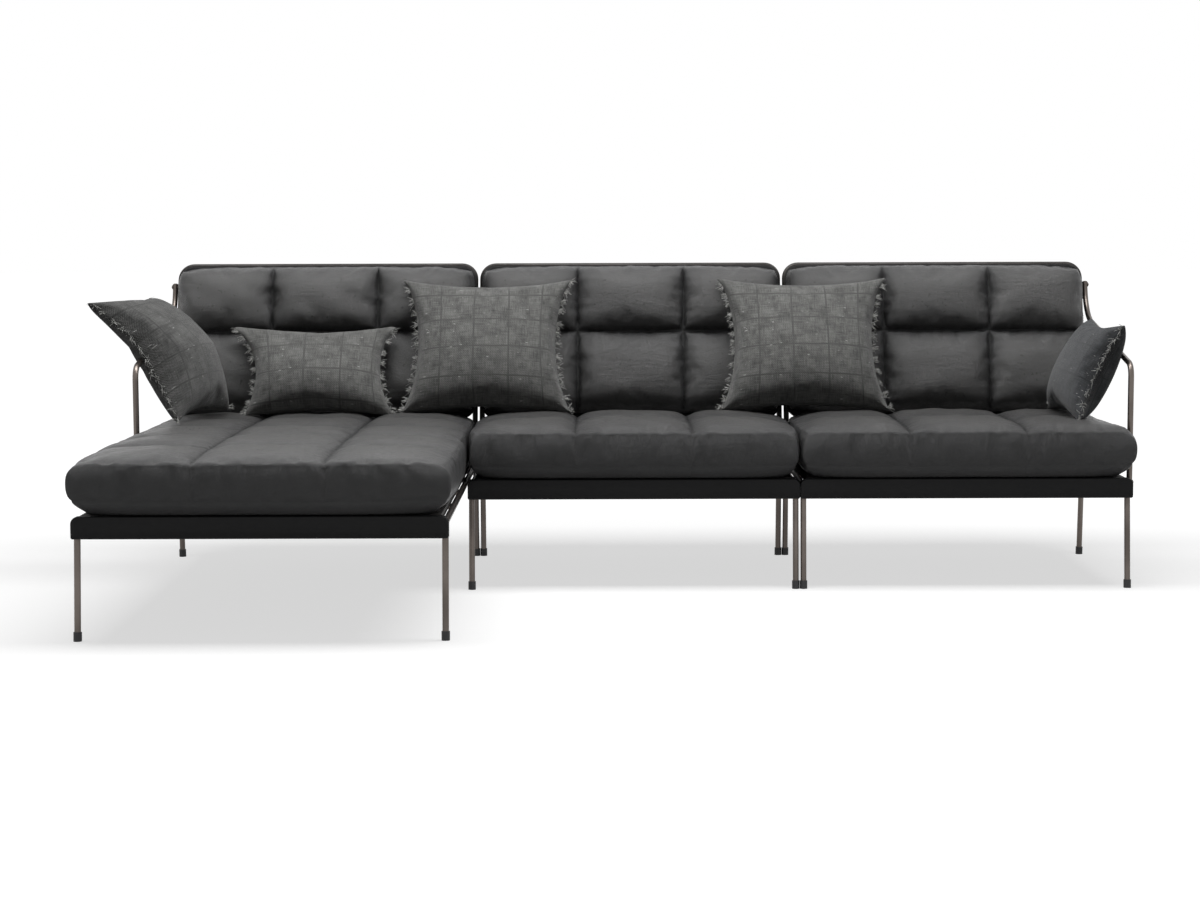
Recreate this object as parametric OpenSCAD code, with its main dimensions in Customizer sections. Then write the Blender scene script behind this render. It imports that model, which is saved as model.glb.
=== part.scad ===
// Modular sofa with a chaise: three quilted leather modules on bent metal rod frames.
// Millimetres, +Z up, the front faces -Y, and the origin is on the floor under the middle.
// The modules stand side by side along X: the chaise, the middle seat and the right seat.

/* [Modules] */
// Width of one module
module_w = 900; // [800:10:1000]
// Distance between the front and rear feet of a seat module
seat_feet = 660; // [600:10:740]
// Distance between the front and rear feet of the chaise
chaise_feet = 1450; // [1300:10:1600]
// Overall height of the backs
back_h = 870; // [820:5:920]
// Angle by which the backs lean
recline = 13; // [8:1:18]

/* [Rod frames] */
// Diameter of the metal rod
rod_d = 16; // [14:1:20]
// Centre line radius of the knees of the side frames
knee_r = 30; // [26:1:40]
// Height of the side rod's centre line
side_z = 280; // [250:5:300]
// Angle by which each leg leans outwards
splay = 5; // [0:1:8]
// Diameter of the foot caps
cap_d = 20.4; // [20:0.1:25]
// Height of the foot caps
cap_h = 22; // [16:1:30]
// Thickness of a foot cap's sole
cap_sole = 5; // [3:1:8]
// Gap between the caps of neighbouring modules
cap_gap = 0.6; // [0.4:0.1:4]
// Centre line radius of the back hoop's corners
hoop_r = 40; // [34:1:60]
// Height of the lower back bar above the side rod, along the back
back_bar = 120; // [100:5:140]

/* [Rails, platforms and webbing] */
// Height of the leather clad rails
rail_h = 54; // [44:1:60]
// Thickness of the rails
rail_t = 24; // [18:1:30]
// Corner radius of the rails
rail_r = 18; // [8:1:22]
// Top of the rails and platforms above the floor
deck_z = 300; // [290:1:320]
// Thickness of the platform boards
board_t = 17; // [12:1:18]
// Width of the platform boards
board_w = 60; // [45:1:80]
// Width of one webbing strap
strap_w = 55; // [40:1:70]
// Thickness of the webbing
strap_t = 2; // [1.5:0.1:3]
// Least open gap between straps
strap_gap = 32; // [24:1:50]

/* [Arms] */
// Height of the arm rod's centre line above its front post
arm_z = 600; // [560:5:640]
// Distance of the arm post behind the front feet of a seat module
arm_back = 72; // [68:1:120]
// Rise of the arm towards the back
arm_rise = 10; // [4:1:14]
// Centre line radius of the arm's front bend
arm_bend_r = 36; // [30:1:50]
// Centre line radius of the arm's rear sweep
arm_sweep_r = 130; // [90:5:150]
// Diameter of the arm bolts
bolt_d = 8; // [6:1:8]

/* [Seat cushions] */
// Height of the seat cushions at their edge, above the webbing
seat_edge_h = 126; // [100:1:150]
// Rise of a seat cushion's crown over its edge
seat_crown = 12; // [4:1:24]
// Rise of each sewn puff over the seams
seat_swell = 18; // [8:1:26]
// Fall of the seat from front to rear
seat_fall = 14; // [0:1:20]
// Overhang of the seat cushions in front of the rails
seat_over = 22; // [0:1:40]
// Roundness of the cushions' edges
edge_r = 28; // [16:1:40]
// Gap between the cushions of neighbouring modules
cushion_gap = 6; // [5:1:12]
// Puffs across one cushion
quilt_cols = 3; // [2:1:4]
// Puffs from front to back on a seat module
seat_rows = 2; // [1:1:3]
// Puffs from front to back on the chaise
chaise_rows = 5; // [4:1:6]

/* [Back cushions] */
// Thickness of a back cushion at its edge
back_edge_t = 52; // [40:1:70]
// Rise of a back cushion's crown over its edge
back_crown = 10; // [4:1:20]
// Rise of each sewn puff of a back cushion
back_swell = 17; // [8:1:26]
// Distance from the side rod to the foot of a back cushion, along the back
back_low = 146; // [145:1:190]
// Height of the cross seam as a share of the back cushion
back_seam = 0.55; // [0.4:0.01:0.6]
// Thickness of the back panels
panel_t = 12; // [9:1:18]
// Width of the hoop that shows round a back panel
hoop_show = 7; // [4:1:8]
// Width of the panel that shows round a back cushion
panel_show = 6; // [3:1:10]

/* [Throw pillows] */
// Width of the square pillows
square_w = 500; // [440:10:520]
// Height of the square pillows
square_h = 420; // [380:10:440]
// Width of the lumbar pillow
small_w = 430; // [400:5:440]
// Height of the small pillows
small_h = 290; // [260:10:310]
// Thickness of the pillows
pillow_t = 125; // [90:5:140]
// Width of the left arm pillow
left_pillow_w = 400; // [380:10:420]
// Width of the right arm pillow
right_pillow_w = 450; // [420:10:480]
// Angle by which the square pillows lean back
square_lean = 24; // [20:1:34]
// Overhang of the left pillow past the left arm
left_overhang = 111; // [108:1:116]

/* [Hidden] */
$fn = 48;

// Clearance between pieces that seat on each other
fit = 0.3;
// Clearance of a pillow over the leather it lies on
pillow_gap = 0.6;
rod_r = rod_d / 2;
// Centre line of a side frame, from the edge of its module
inset = (cap_d + cap_gap) / 2;
// Distance of the arm's centre line outside the side frame's
arm_out = rod_d + fit;
function arm_x(right) = right ? 3 * module_w - inset + arm_out : inset - arm_out;
bolt_head = 0.5 * bolt_d;
feet = [chaise_feet, seat_feet, seat_feet];
rows = [chaise_rows, seat_rows, seat_rows];
// Where a leg's centre line is at a height, from the foot's place on the floor
function leg_in(z) = z * tan(splay);
// Rear face of a front rail, against the legs
function rail_back(m) = -feet[m] + leg_in(deck_z - rail_h) - rod_r / cos(splay) - fit;
rear_rail_front = -leg_in(deck_z - rail_h) + rod_r / cos(splay) + fit;
// Clearances: boards to side rods, hoops to rear knees, seats to hoops, and between rails
board_gap = 1;
hoop_gap = 1;
seat_gap = 3;
rail_gap = 1;
platform_in = inset + rod_r + board_gap;
bar_z = deck_z - board_t - fit - rod_r;
strap_z = deck_z + fit / 2;
seat_z0 = strap_z + strap_t + fit;
// The back hoop stands on the straight part of the side rods, in front of the rear knee
knee_cut = knee_r * tan((90 - splay) / 2);
hoop_y = -leg_in(side_z) - knee_cut - rod_r / cos(recline) - hoop_gap;
hoop_top = (back_h - rod_r - side_z) / cos(recline);
panel_n = rod_r + fit;
back_n = panel_n + panel_t + fit;
// The tops of the panel and the cushion, lower where they stand forward of the leaning hoop
panel_top = hoop_top + rod_r - hoop_show - (panel_n + panel_t) * tan(recline);
back_top = panel_top - panel_show - (back_edge_t - edge_r) * tan(recline);
panel_in = inset - rod_r + hoop_show;
back_in = panel_in + panel_show;
seat_rear = hoop_y - rod_r / cos(recline) - seat_gap + (seat_z0 - side_z) * tan(recline);
arm_y = -seat_feet + arm_back;
x_mid = (arm_x(false) - left_overhang + arm_x(true) + rod_r + bolt_head) / 2;
rear_reach = hoop_y + hoop_top * sin(recline) + rod_r;
y_mid = (rail_back(0) - rail_t - seat_over + rear_reach) / 2;

rod_colour = [0.45, 0.43, 0.40];
cap_colour = [0.06, 0.06, 0.06];
leather_colour = [0.22, 0.22, 0.22];
rail_colour = [0.12, 0.12, 0.12];
board_colour = [0.10, 0.09, 0.08];
strap_colour = [0.20, 0.19, 0.18];
pillow_colour = [0.38, 0.38, 0.37];

// Moves a piece from the construction frame, whose rear feet are at y = 0, to the sofa's frame
module place() translate([-x_mid, -y_mid, 0]) children();

// Bent rod along a flat path in the XY plane, with a round bend at each inner point.
// Each run is drawn along +X from the end of the last bend; chamfer adds a short cone to both ends.
// A bend is thinner by bend_draw and each run reaches into it by bend_lap, so they join as one rod.
bend_draw = 0.1;
bend_lap = 0.5;
function unit(v) = v / norm(v);
function turning(a, b, c) =
    let (p = unit(b - a), q = unit(c - b)) atan2(p.x * q.y - p.y * q.x, p * q);
function bend_cut(path, radii, i) = i == 0 || i == len(path) - 1 ? 0
    : radii[i] * tan(abs(turning(path[i - 1], path[i], path[i + 1])) / 2);
module bent_rod(path, radii, chamfer = 0) {
    way = path[1] - path[0];
    translate([path[0].x, path[0].y, 0]) rotate([0, 0, atan2(way.y, way.x)]) {
        rod_end(-90, chamfer);
        rod_run(path, radii, chamfer, 0);
    }
}
module rod_run(path, radii, chamfer, i) {
    run = norm(path[i + 1] - path[i]) - bend_cut(path, radii, i) - bend_cut(path, radii, i + 1);
    last = i == len(path) - 2;
    from = i == 0 ? 0 : -bend_lap;
    translate([from, 0, 0]) rotate([0, 90, 0]) cylinder(d = rod_d, h = run - from + (last ? 0 : bend_lap));
    if (last) translate([run, 0, 0]) rod_end(90, chamfer);
    else {
        turn = turning(path[i], path[i + 1], path[i + 2]);
        r = radii[i + 1];
        translate([run, sign(turn) * r, 0]) {
            rotate([0, 0, turn > 0 ? -90 : 90 + turn])
                rotate_extrude(angle = abs(turn)) translate([r, 0]) circle(d = rod_d - 2 * bend_draw);
            rotate([0, 0, turn]) translate([0, -sign(turn) * r, 0]) rod_run(path, radii, chamfer, i + 1);
        }
    }
}
module rod_end(way, chamfer) if (chamfer > 0)
    rotate([0, way, 0]) cylinder(r1 = rod_r, r2 = rod_r - chamfer, h = chamfer);

// Stands a path drawn as [y, z] upright at a given x
module upright(x) translate([x, 0, 0]) rotate([90, 0, 90]) children();

// Puts a shape drawn as [across, along the back, out to the front] on the leaning back
module on_back(m) translate([m * module_w, hoop_y, side_z]) rotate([90 - recline, 0, 0]) children();

// Side frames
function side_x(m, right) = m * module_w + (right ? module_w - inset : inset);
function side_path(m) = let (end = cap_sole + fit) [
    [-feet[m] + leg_in(end), end], [-feet[m] + leg_in(side_z), side_z],
    [-leg_in(side_z), side_z], [-leg_in(end), end]
];
module side_frame(m, right, drilled = false) color(rod_colour) place() difference() {
    upright(side_x(m, right)) bent_rod(side_path(m), [0, knee_r, knee_r, 0]);
    if (drilled) bolt_hole(m, right);
}

// Straight rod from side frame to side frame, its ends coped to them
module cross_bar(m, y) difference() {
    translate([side_x(m, false), y, bar_z]) rotate([0, 90, 0])
        cylinder(d = rod_d, h = module_w - 2 * inset);
    for (right = [false, true])
        translate([side_x(m, right), y + rod_d, side_z]) rotate([90, 0, 0])
            cylinder(r = rod_r + fit, h = 2 * rod_d);
}
function bar_count(m) = 1 + ceil(feet[m] / 420);
function bar_y(m, i) = let (margin = leg_in(side_z) + knee_cut + 2 * rod_d)
    -feet[m] + margin + i * (feet[m] - 2 * margin - 2 * rod_d) / (bar_count(m) - 1);
module cross_bars(m) color(rod_colour) place()
    for (i = [0 : bar_count(m) - 1]) cross_bar(m, bar_y(m, i));

// Foot caps: each leg's end sits in a socket over a flat sole
module foot_cap(x, y, lean) intersection() {
    translate([x, y, 0]) rotate([lean, 0, 0]) difference() {
        translate([0, 0, -cap_d]) cylinder(d = cap_d, h = cap_d + cap_h);
        translate([0, 0, cap_sole / cos(splay)]) cylinder(r = rod_r + fit, h = cap_h);
    }
    translate([x - cap_d, y - cap_d, 0]) cube([2 * cap_d, 2 * cap_d, 2 * cap_h]);
}
module foot_caps(m) color(cap_colour) place() for (right = [false, true]) {
    foot_cap(side_x(m, right), -feet[m], -splay);
    foot_cap(side_x(m, right), 0, splay);
}

// Leather clad rails with rounded upper corners
module rail(m, y) {
    w = module_w - rail_gap;
    translate([m * module_w + rail_gap / 2, y, deck_z - rail_h]) {
        cube([w, rail_t, rail_h - rail_r]);
        translate([rail_r, 0, 0]) cube([w - 2 * rail_r, rail_t, rail_h]);
        for (x = [rail_r, w - rail_r])
            translate([x, rail_t, rail_h - rail_r]) rotate([90, 0, 0]) cylinder(r = rail_r, h = rail_t);
    }
}
module front_rail(m) color(rail_colour) place() rail(m, rail_back(m) - rail_t);
module rear_rail(m) color(rail_colour) place() rail(m, rear_rail_front);

// Platform: a frame of boards between the side rods, with cross slats on the chaise
function platform_from(m) = rail_back(m) + fit;
function platform_len(m) = rear_rail_front - fit - platform_from(m);
module platform(m) color(board_colour) place() {
    w = module_w - 2 * platform_in;
    length = platform_len(m);
    slats = ceil(length / 700) - 1;
    translate([m * module_w + platform_in, platform_from(m), deck_z - board_t]) {
        for (x = [0, w - board_w]) cube_at(x, 0, board_w, length);
        for (i = [0 : slats + 1]) cube_at(board_w, i * (length - board_w) / (slats + 1), w - 2 * board_w, board_w);
    }
}
module cube_at(x, y, w, l) translate([x, y, 0]) cube([w, l, board_t]);

// Webbing: straps from side board to side board
module webbing(m) color(strap_colour) place() {
    length = platform_len(m) - board_w;
    count = floor(length / (strap_w + strap_gap));
    strap_in = platform_in + strap_margin;
    for (i = [0 : count - 1])
        translate([m * module_w + strap_in, platform_from(m) + board_w / 2
            + (i + 0.5) * length / count - strap_w / 2, strap_z])
            cube([module_w - 2 * strap_in, strap_w, strap_t]);
}
strap_margin = 8;

// Back hoop: one rod up, across and down, coped onto the side rods
module side_rods(m, r) for (right = [false, true])
    translate([side_x(m, right), 0, side_z]) rotate([90, 0, 0]) cylinder(r = r, h = seat_feet / 2);
module back_hoop(m, drilled_left = false, drilled_right = false) color(rod_colour) place() difference() {
    on_back(m) bent_rod(
        [[inset, 0], [inset, hoop_top], [module_w - inset, hoop_top], [module_w - inset, 0]],
        [0, hoop_r, hoop_r, 0]);
    side_rods(m, rod_r + fit);
    if (drilled_left) bolt_hole(m, false, true);
    if (drilled_right) bolt_hole(m, true, true);
}
module back_cross_bars() color(rod_colour) place() for (m = [0 : 2]) on_back(m) difference() {
    translate([inset, back_bar, 0]) rotate([0, 90, 0]) cylinder(d = rod_d, h = module_w - 2 * inset);
    for (x = [inset, module_w - inset])
        translate([x, back_bar - rod_d, 0]) rotate([-90, 0, 0]) cylinder(r = rod_r + fit, h = 2 * rod_d);
}

// Back panel: a leather covered board on the front of the hoop
panel_r = hoop_r + rod_r - hoop_show;
panel_below = 6;
module back_panel(m) color(rail_colour) place() on_back(m) {
    low = back_low - panel_below;
    w = module_w - 2 * panel_in;
    h = panel_top - low;
    translate([panel_in, low, panel_n]) {
        translate([panel_r, 0, 0]) cube([w - 2 * panel_r, h, panel_t]);
        translate([0, panel_r, 0]) cube([w, h - 2 * panel_r, panel_t]);
        for (x = [panel_r, w - panel_r], y = [panel_r, h - panel_r])
            translate([x, y, 0]) cylinder(r = panel_r, h = panel_t);
    }
}

// Joining clips: each is pushed up over two side rods
clip_wall = 3.2;
clip_floor = 4;
clip_half = inset + rod_r + fit + clip_wall;
clip_l = 30;
// The cross bars on both sides of a joint, and the next one in front of a bar
function joint_bars(joint) = [for (m = [joint - 1, joint], i = [0 : bar_count(m) - 1]) bar_y(m, i)];
function next_bar(joint, y) = max([for (b = joint_bars(joint)) if (b < y - rod_d) b]);
// Middle of the widest room between two bars of a joint, from one bar of the seat to another
function clip_y(joint, from, to) = let (bars = [for (b = joint_bars(joint)) if (b <= from && b > to) b],
    rooms = [for (b = bars) b - next_bar(joint, b)], widest = bars[search(max(rooms), rooms)[0]])
    (widest + next_bar(joint, widest)) / 2;
module joining_clips() color(cap_colour) place()
    for (joint = [1, 2], i = [1, 2])
        translate([joint * module_w, clip_y(joint, bar_y(2, i), bar_y(2, i - 1)), 0]) difference() {
            translate([-clip_half, -clip_l / 2, side_z - rod_r - clip_floor])
                cube([2 * clip_half, clip_l, deck_z - board_t - fit - side_z + rod_r + clip_floor]);
            for (x = [-inset, inset]) translate([x, clip_l, side_z]) rotate([90, 0, 0])
                cylinder(r = rod_r + fit, h = 2 * clip_l);
        }

// Arms: a post beside the seat, a rising rest and a sweep up beside the back
arm_foot = side_z - rod_r - 6;
arm_chamfer = 2;
arm_dir = [cos(arm_rise), sin(arm_rise)];
back_dir = [sin(recline), cos(recline)];
// Where the rest's line meets the back's line, as [y, z]
function meet(p, d, q, e) = p + d * ((q - p).x * e.y - (q - p).y * e.x) / (d.x * e.y - d.y * e.x);
arm_corner = meet([arm_y, arm_z], arm_dir, [hoop_y, side_z], back_dir);
arm_top = (arm_corner - [hoop_y, side_z]) * back_dir
    + arm_sweep_r * tan((90 - recline - arm_rise) / 2) + rod_d;
arm_path = [[arm_y, arm_foot], [arm_y, arm_z], arm_corner, [hoop_y, side_z] + arm_top * back_dir];
module arm(right) color(rod_colour) place() difference() {
    upright(arm_x(right)) bent_rod(arm_path, [0, arm_bend_r, arm_sweep_r, 0], arm_chamfer);
    bolt_hole(right ? 2 : 0, right);
    bolt_hole(right ? 2 : 0, right, true);
}

// Arm bolts: one at the side rod and one near the top of the back hoop
upper_bolt = [hoop_y, side_z] + (arm_top - rod_d / 2) * back_dir;
function bolt_at(upper) = upper ? upper_bolt : [arm_y, side_z];
bolt_l = arm_out + rod_r + rod_r / 2;
module along_bolt(m, right, upper) translate([side_x(m, right), bolt_at(upper).x, bolt_at(upper).y])
    rotate([0, right ? 90 : -90, 0]) children();
module bolt_hole(m, right, upper = false) along_bolt(m, right, upper)
    translate([0, 0, -rod_r / 2 - fit]) cylinder(d = bolt_d + fit, h = bolt_l + 3 * fit);
module bolt(m, right, upper) along_bolt(m, right, upper) {
    translate([0, 0, -rod_r / 2]) cylinder(d = bolt_d, h = bolt_l + fit);
    translate([0, 0, arm_out + rod_r + fit]) intersection() {
        cylinder(d = 1.7 * bolt_d, h = bolt_head);
        translate([0, 0, -0.65 * bolt_d]) sphere(r = 1.08 * bolt_d);
    }
}
module arm_bolts() color(cap_colour) place() for (upper = [false, true]) {
    bolt(0, false, upper);
    bolt(2, true, upper);
}

// Quilted pads: a grid of puffs over rounded sides and a flat base.
// Each puff has a seam at its edges, a shoulder beside each seam and a crest.
seam_share = 0.12;
shoulder = 0.75;
function knots(n) = concat([for (i = [0 : n - 1], k = [0, seam_share, 0.5, 1 - seam_share]) (i + k) / n], [1]);
function puff(n, u) = let (w = n * u - floor(n * u), e = min(w, 1 - w))
    e < seam_share ? shoulder * e / seam_share
    : shoulder + (1 - shoulder) * (e - seam_share) / (0.5 - seam_share);
function dome(u) = 1 - pow(2 * u - 1, 4);
function swell(cols, rows, u, v, crown, rise) =
    crown * dome(u) * dome(v) + rise * puff(cols, u) * puff(rows, v);
// Moves the middle seam of a two-row pad to its share of the length
function warp(v, seam) = v < 0.5 ? 2 * v * seam : seam + (2 * v - 1) * (1 - seam);
function unwarp(v, seam) = v < seam ? v / seam / 2 : 0.5 + (v - seam) / (1 - seam) / 2;
// A point of the outline at a given inset: u and v run from 0 to 1, and the corners are round
function plan(size, in, u, v) = let (a = 2 * u - 1, b = 2 * v - 1, k = edge_r * pow(abs(a * b), 6) / 3)
    [size.x / 2 + (size.x / 2 - in) * a - sign(a) * k, size.y / 2 + (size.y / 2 - in) * b - sign(b) * k];
function rim(nu, nv) = concat([for (i = [0 : nu - 1]) [i, 0]], [for (j = [0 : nv - 1]) [nu, j]],
    [for (i = [nu : -1 : 1]) [i, nv]], [for (j = [nv : -1 : 1]) [0, j]]);
side_levels = [0.92, 0.75, 0.5, 0.25, 0.08, 0];
module pad(size, cols, rows, crown, rise, fall = 0, seam = 0.5) {
    us = knots(cols);
    vs = [for (v = knots(rows)) warp(v, seam)];
    nu = len(us) - 1;
    nv = len(vs) - 1;
    edge = rim(nu, nv);
    n = len(edge);
    base = (nu + 1) * (nv + 1);
    top = [for (v = vs, u = us) let (p = plan(size, edge_r, u, v))
        [p.x, p.y, size.z - fall * v + swell(cols, rows, u, unwarp(v, seam), crown, rise)]];
    sides = [for (t = side_levels, e = edge) let (u = us[e[0]], v = vs[e[1]],
        p = plan(size, edge_r * pow(abs(2 * t - 1), 3), u, v)) [p.x, p.y, t * (size.z - fall * v)]];
    upper = [for (e = edge) e[1] * (nu + 1) + e[0]];
    rings = concat([upper], [for (k = [0 : len(side_levels) - 1]) [for (p = [0 : n - 1]) base + k * n + p]]);
    polyhedron(
        concat(top, sides, [[size.x / 2, size.y / 2, 0]]),
        concat(
            [for (j = [0 : nv - 1], i = [0 : nu - 1], half = [0, 1])
                let (a = j * (nu + 1) + i, b = a + 1, d = a + nu + 1, c = d + 1)
                half == 0 ? [a, c, b] : [a, d, c]],
            [for (k = [0 : len(side_levels) - 1], p = [0 : n - 1], half = [0, 1])
                let (q = (p + 1) % n, over = rings[k], under = rings[k + 1])
                half == 0 ? [over[p], over[q], under[q]] : [over[p], under[q], under[p]]],
            [for (p = [0 : n - 1]) [rings[len(side_levels)][p], rings[len(side_levels)][(p + 1) % n],
                base + n * len(side_levels)]]
        )
    );
}

// Seat cushions
cushion_w = module_w - cushion_gap;
function seat_front(m) = rail_back(m) - rail_t - seat_over;
function seat_size(m) = [cushion_w, seat_rear - seat_front(m), seat_edge_h];
module seat_cushion(m) color(leather_colour) place()
    translate([m * module_w + cushion_gap / 2, seat_front(m), seat_z0])
        pad(seat_size(m), quilt_cols, rows[m], seat_crown, seat_swell, seat_fall);

// Back cushions
back_size = [module_w - 2 * back_in, back_top - back_low, back_edge_t];
module back_cushion(m) color(leather_colour) place() on_back(m)
    translate([back_in, back_low, back_n])
        pad(back_size, quilt_cols, 2, back_crown, back_swell, 0, back_seam);

// Height of a pad's drawn facets over its edge level, and their fall beside its rim
function span(n, u) = let (c = min(n - 1, floor(n * u)), w = n * u - c, e = seam_share,
    k = w < e ? [0, e] : w < 0.5 ? [e, 0.5] : w < 1 - e ? [0.5, 1 - e] : [1 - e, 1])
    [(c + k[0]) / n, (c + k[1]) / n, (w - k[0]) / (k[1] - k[0])];
function drawn(cols, rows, u, v, crown, rise) = let (p = span(cols, u), q = span(rows, v), s = p[2], t = q[2],
    z = [for (y = [q[0], q[1]]) [for (x = [p[0], p[1]]) swell(cols, rows, x, y, crown, rise)]])
    z[0][0] + (s > t ? s * (z[0][1] - z[0][0]) + t * (z[1][1] - z[0][1])
        : t * (z[1][0] - z[0][0]) + s * (z[1][1] - z[1][0]));
function rim_fall(x, y, size) = lookup(min(x, size.x - x, y, size.y - y), concat([[edge_r, 0]],
    [for (t = side_levels) if (t >= 0.5) [edge_r * pow(2 * t - 1, 3), (1 - t) * size.z]]));

// Room left between a point and the leather or the arms, for seating the pillows
function share(x, size) = min(1, max(0, (x - edge_r) / (size - 2 * edge_r)));
function seat_room(p) = let (m = min(2, max(0, floor(p.x / module_w))), size = seat_size(m),
    x = p.x - m * module_w - cushion_gap / 2, y = p.y - seat_front(m),
    u = share(x, size.x), v = share(y, size.y),
    h = p.z - seat_z0 - size.z + seat_fall * v, rise = seat_crown + seat_swell)
    x < 0 || x > size.x || y > size.y ? 1000 : h > rise + pillow_gap ? h - rise
    : h + rim_fall(x, y, size) - drawn(quilt_cols, rows[m], u, v, seat_crown, seat_swell);
function back_room(p) = let (m = min(2, max(0, floor(p.x / module_w))), q = [p.y - hoop_y, p.z - side_z],
    along = q * back_dir - back_low, out = q.y * sin(recline) - q.x * cos(recline) - back_n,
    x = p.x - m * module_w - back_in, u = share(x, back_size.x), v = share(along, back_size.y),
    h = out - back_size.z, rise = back_crown + back_swell)
    x < 0 || x > back_size.x || along < 0 || along > back_size.y ? 1000 : h > rise + pillow_gap ? h - rise
    : h + rim_fall(x, along, back_size)
        - drawn(quilt_cols, 2, u, unwarp(v, back_seam), back_crown, back_swell);
// An edge seen along an arm's rest, as the rod's middle lies from its ends
function off_arm(p, right) = [p.x - arm_x(right), (p.z - arm_z) * cos(arm_rise) - (p.y - arm_y) * sin(arm_rise)];
function arm_room(e, at, right) = let (p = off_arm(e[0] + at, right), d = off_arm(e[1] + at, right) - p)
    norm(p + d * min(1, max(0, -p * d / (d * d)))) - rod_r;
function room(edges, at) = min(
    min([for (e = edges, k = [0 : edge_steps - 1]) let (p = e[0] + (e[1] - e[0]) * k / edge_steps + at)
        min(seat_room(p), back_room(p))]),
    min([for (e = edges, right = [false, true]) arm_room(e, at, right)]));
// Walks a pillow's edges along a direction until the next step would leave less than pillow_gap
walk_step = 12;
walk_limit = 120;
function settle(edges, at, dir, step = walk_step, left = walk_limit) = step < 0.05 || left == 0 ? at
    : room(edges, at + dir * step) > pillow_gap ? settle(edges, at + dir * step, dir, step, left - 1)
    : settle(edges, at, dir, step / 2, left - 1);
// Against what the pillow leans on, down onto the seat, and twice more each way
function seated(edges, above, toward, down) =
    let (against = settle(edges, above, toward))
    let (lowered = settle(edges, against - toward * settle_back, down))
    let (nearer = settle(edges, settle(edges, lowered, toward), down))
    settle(edges, settle(edges, nearer, toward), down);

// Throw pillows: full in the middle, pinched at the corners, with drawn-in sides.
// The last entry of a size is the share of the fill that stays under the middle plane.
draw_side = 0.15;
draw_end = 0.05;
pressed = 0.4;
function pillow_point(size, s, t, face) = [
    size.x / 2 * s * (1 - draw_side * s * s * (1 - t * t)),
    size.y / 2 * t * (1 - draw_end * t * t * (1 - s * s)),
    face * size.z / 2 * pow((1 - s * s) * (1 - t * t), 0.45) * (face > 0 ? 1 : size[3])
];
// Leans a pillow back from upright and turns it about the vertical
function leant(p, lean, yaw) = let (y = p.y * sin(lean) - p.z * cos(lean), z = p.y * cos(lean) + p.z * sin(lean))
    [p.x * cos(yaw) - y * sin(yaw), p.x * sin(yaw) + y * cos(yaw), z];
pillow_n = 10;
function pillow_points(size, lean, yaw, n) = [for (face = [1, -1], j = [0 : n], i = [0 : n])
    if (face == 1 || (i > 0 && i < n && j > 0 && j < n))
        leant(pillow_point(size, 2 * i / n - 1, 2 * j / n - 1, face), lean, yaw)];
// The edges of the drawn facets, for seating a pillow
edge_steps = 3;
function facet_edges(size, lean, yaw, n) = [for (face = [1, -1])
    let (g = [for (j = [0 : n]) [for (i = [0 : n])
        leant(pillow_point(size, 2 * i / n - 1, 2 * j / n - 1, face), lean, yaw)]])
    each concat(
        [for (j = [0 : n], i = [0 : n - 1]) [g[j][i], g[j][i + 1]]],
        [for (j = [0 : n - 1], i = [0 : n]) [g[j][i], g[j + 1][i]]],
        [for (j = [0 : n - 1], i = [0 : n - 1]) (i < n / 2) == (j < n / 2)
            ? [g[j][i], g[j + 1][i + 1]] : [g[j][i + 1], g[j + 1][i]]])];
function pillow_at(n, face, i, j) = face == 1 || i == 0 || i == n || j == 0 || j == n
    ? j * (n + 1) + i : (n + 1) * (n + 1) + (j - 1) * (n - 1) + i - 1;
module pillow(size, lean, yaw, at) color(pillow_colour) place() translate(at) {
    n = pillow_n;
    polyhedron(pillow_points(size, lean, yaw, n), [
        for (face = [1, -1], j = [0 : n - 1], i = [0 : n - 1], half = [0, 1])
            let (a = pillow_at(n, face, i, j), b = pillow_at(n, face, i + 1, j),
                c = pillow_at(n, face, i + 1, j + 1), d = pillow_at(n, face, i, j + 1))
            let (cut = (i < n / 2) == (j < n / 2) ? [[a, c, b], [a, d, c]] : [[a, d, b], [b, d, c]])
            face == 1 ? cut[half] : [cut[half][2], cut[half][1], cut[half][0]]
    ]);
}
// Draws a pillow seated on the seat and against what it leans on; clear is its start over the seat
clear = 60;
settle_back = 8;
square_size = [square_w, square_h, pillow_t, 1];
lumbar_size = [small_w, small_h, pillow_t - 10, 1];
left_arm_size = [left_pillow_w, square_h, pillow_t - 30, pressed];
right_arm_size = [right_pillow_w, small_h, pillow_t - 30, 1];
module seated_pillow(size, lean, yaw, x, y, toward, down) {
    edges = facet_edges(size, lean, yaw, pillow_n);
    above = [x, y, seat_z0 + seat_edge_h + size.y * cos(lean) / 2 + clear];
    at = seated(edges, above, toward, down);
    pillow(size, lean, yaw, at);
}
// A pillow that leans on the backs, at a share of the modules' pitch
lumbar_lean = 30;
lumbar_place = 0.5;
left_square_place = 1.035;
right_square_place = 2.055;
back_start = 250;
module back_pillow(size, lean, pitch) seated_pillow(size, lean, 0, pitch * module_w, -back_start,
    [0, 1, 0], [0, -sin(recline), -cos(recline)]);
module lumbar_pillow() back_pillow(lumbar_size, lumbar_lean, lumbar_place);
module left_square_pillow() back_pillow(square_size, square_lean, left_square_place);
module right_square_pillow() back_pillow(square_size, square_lean, right_square_place);
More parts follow.
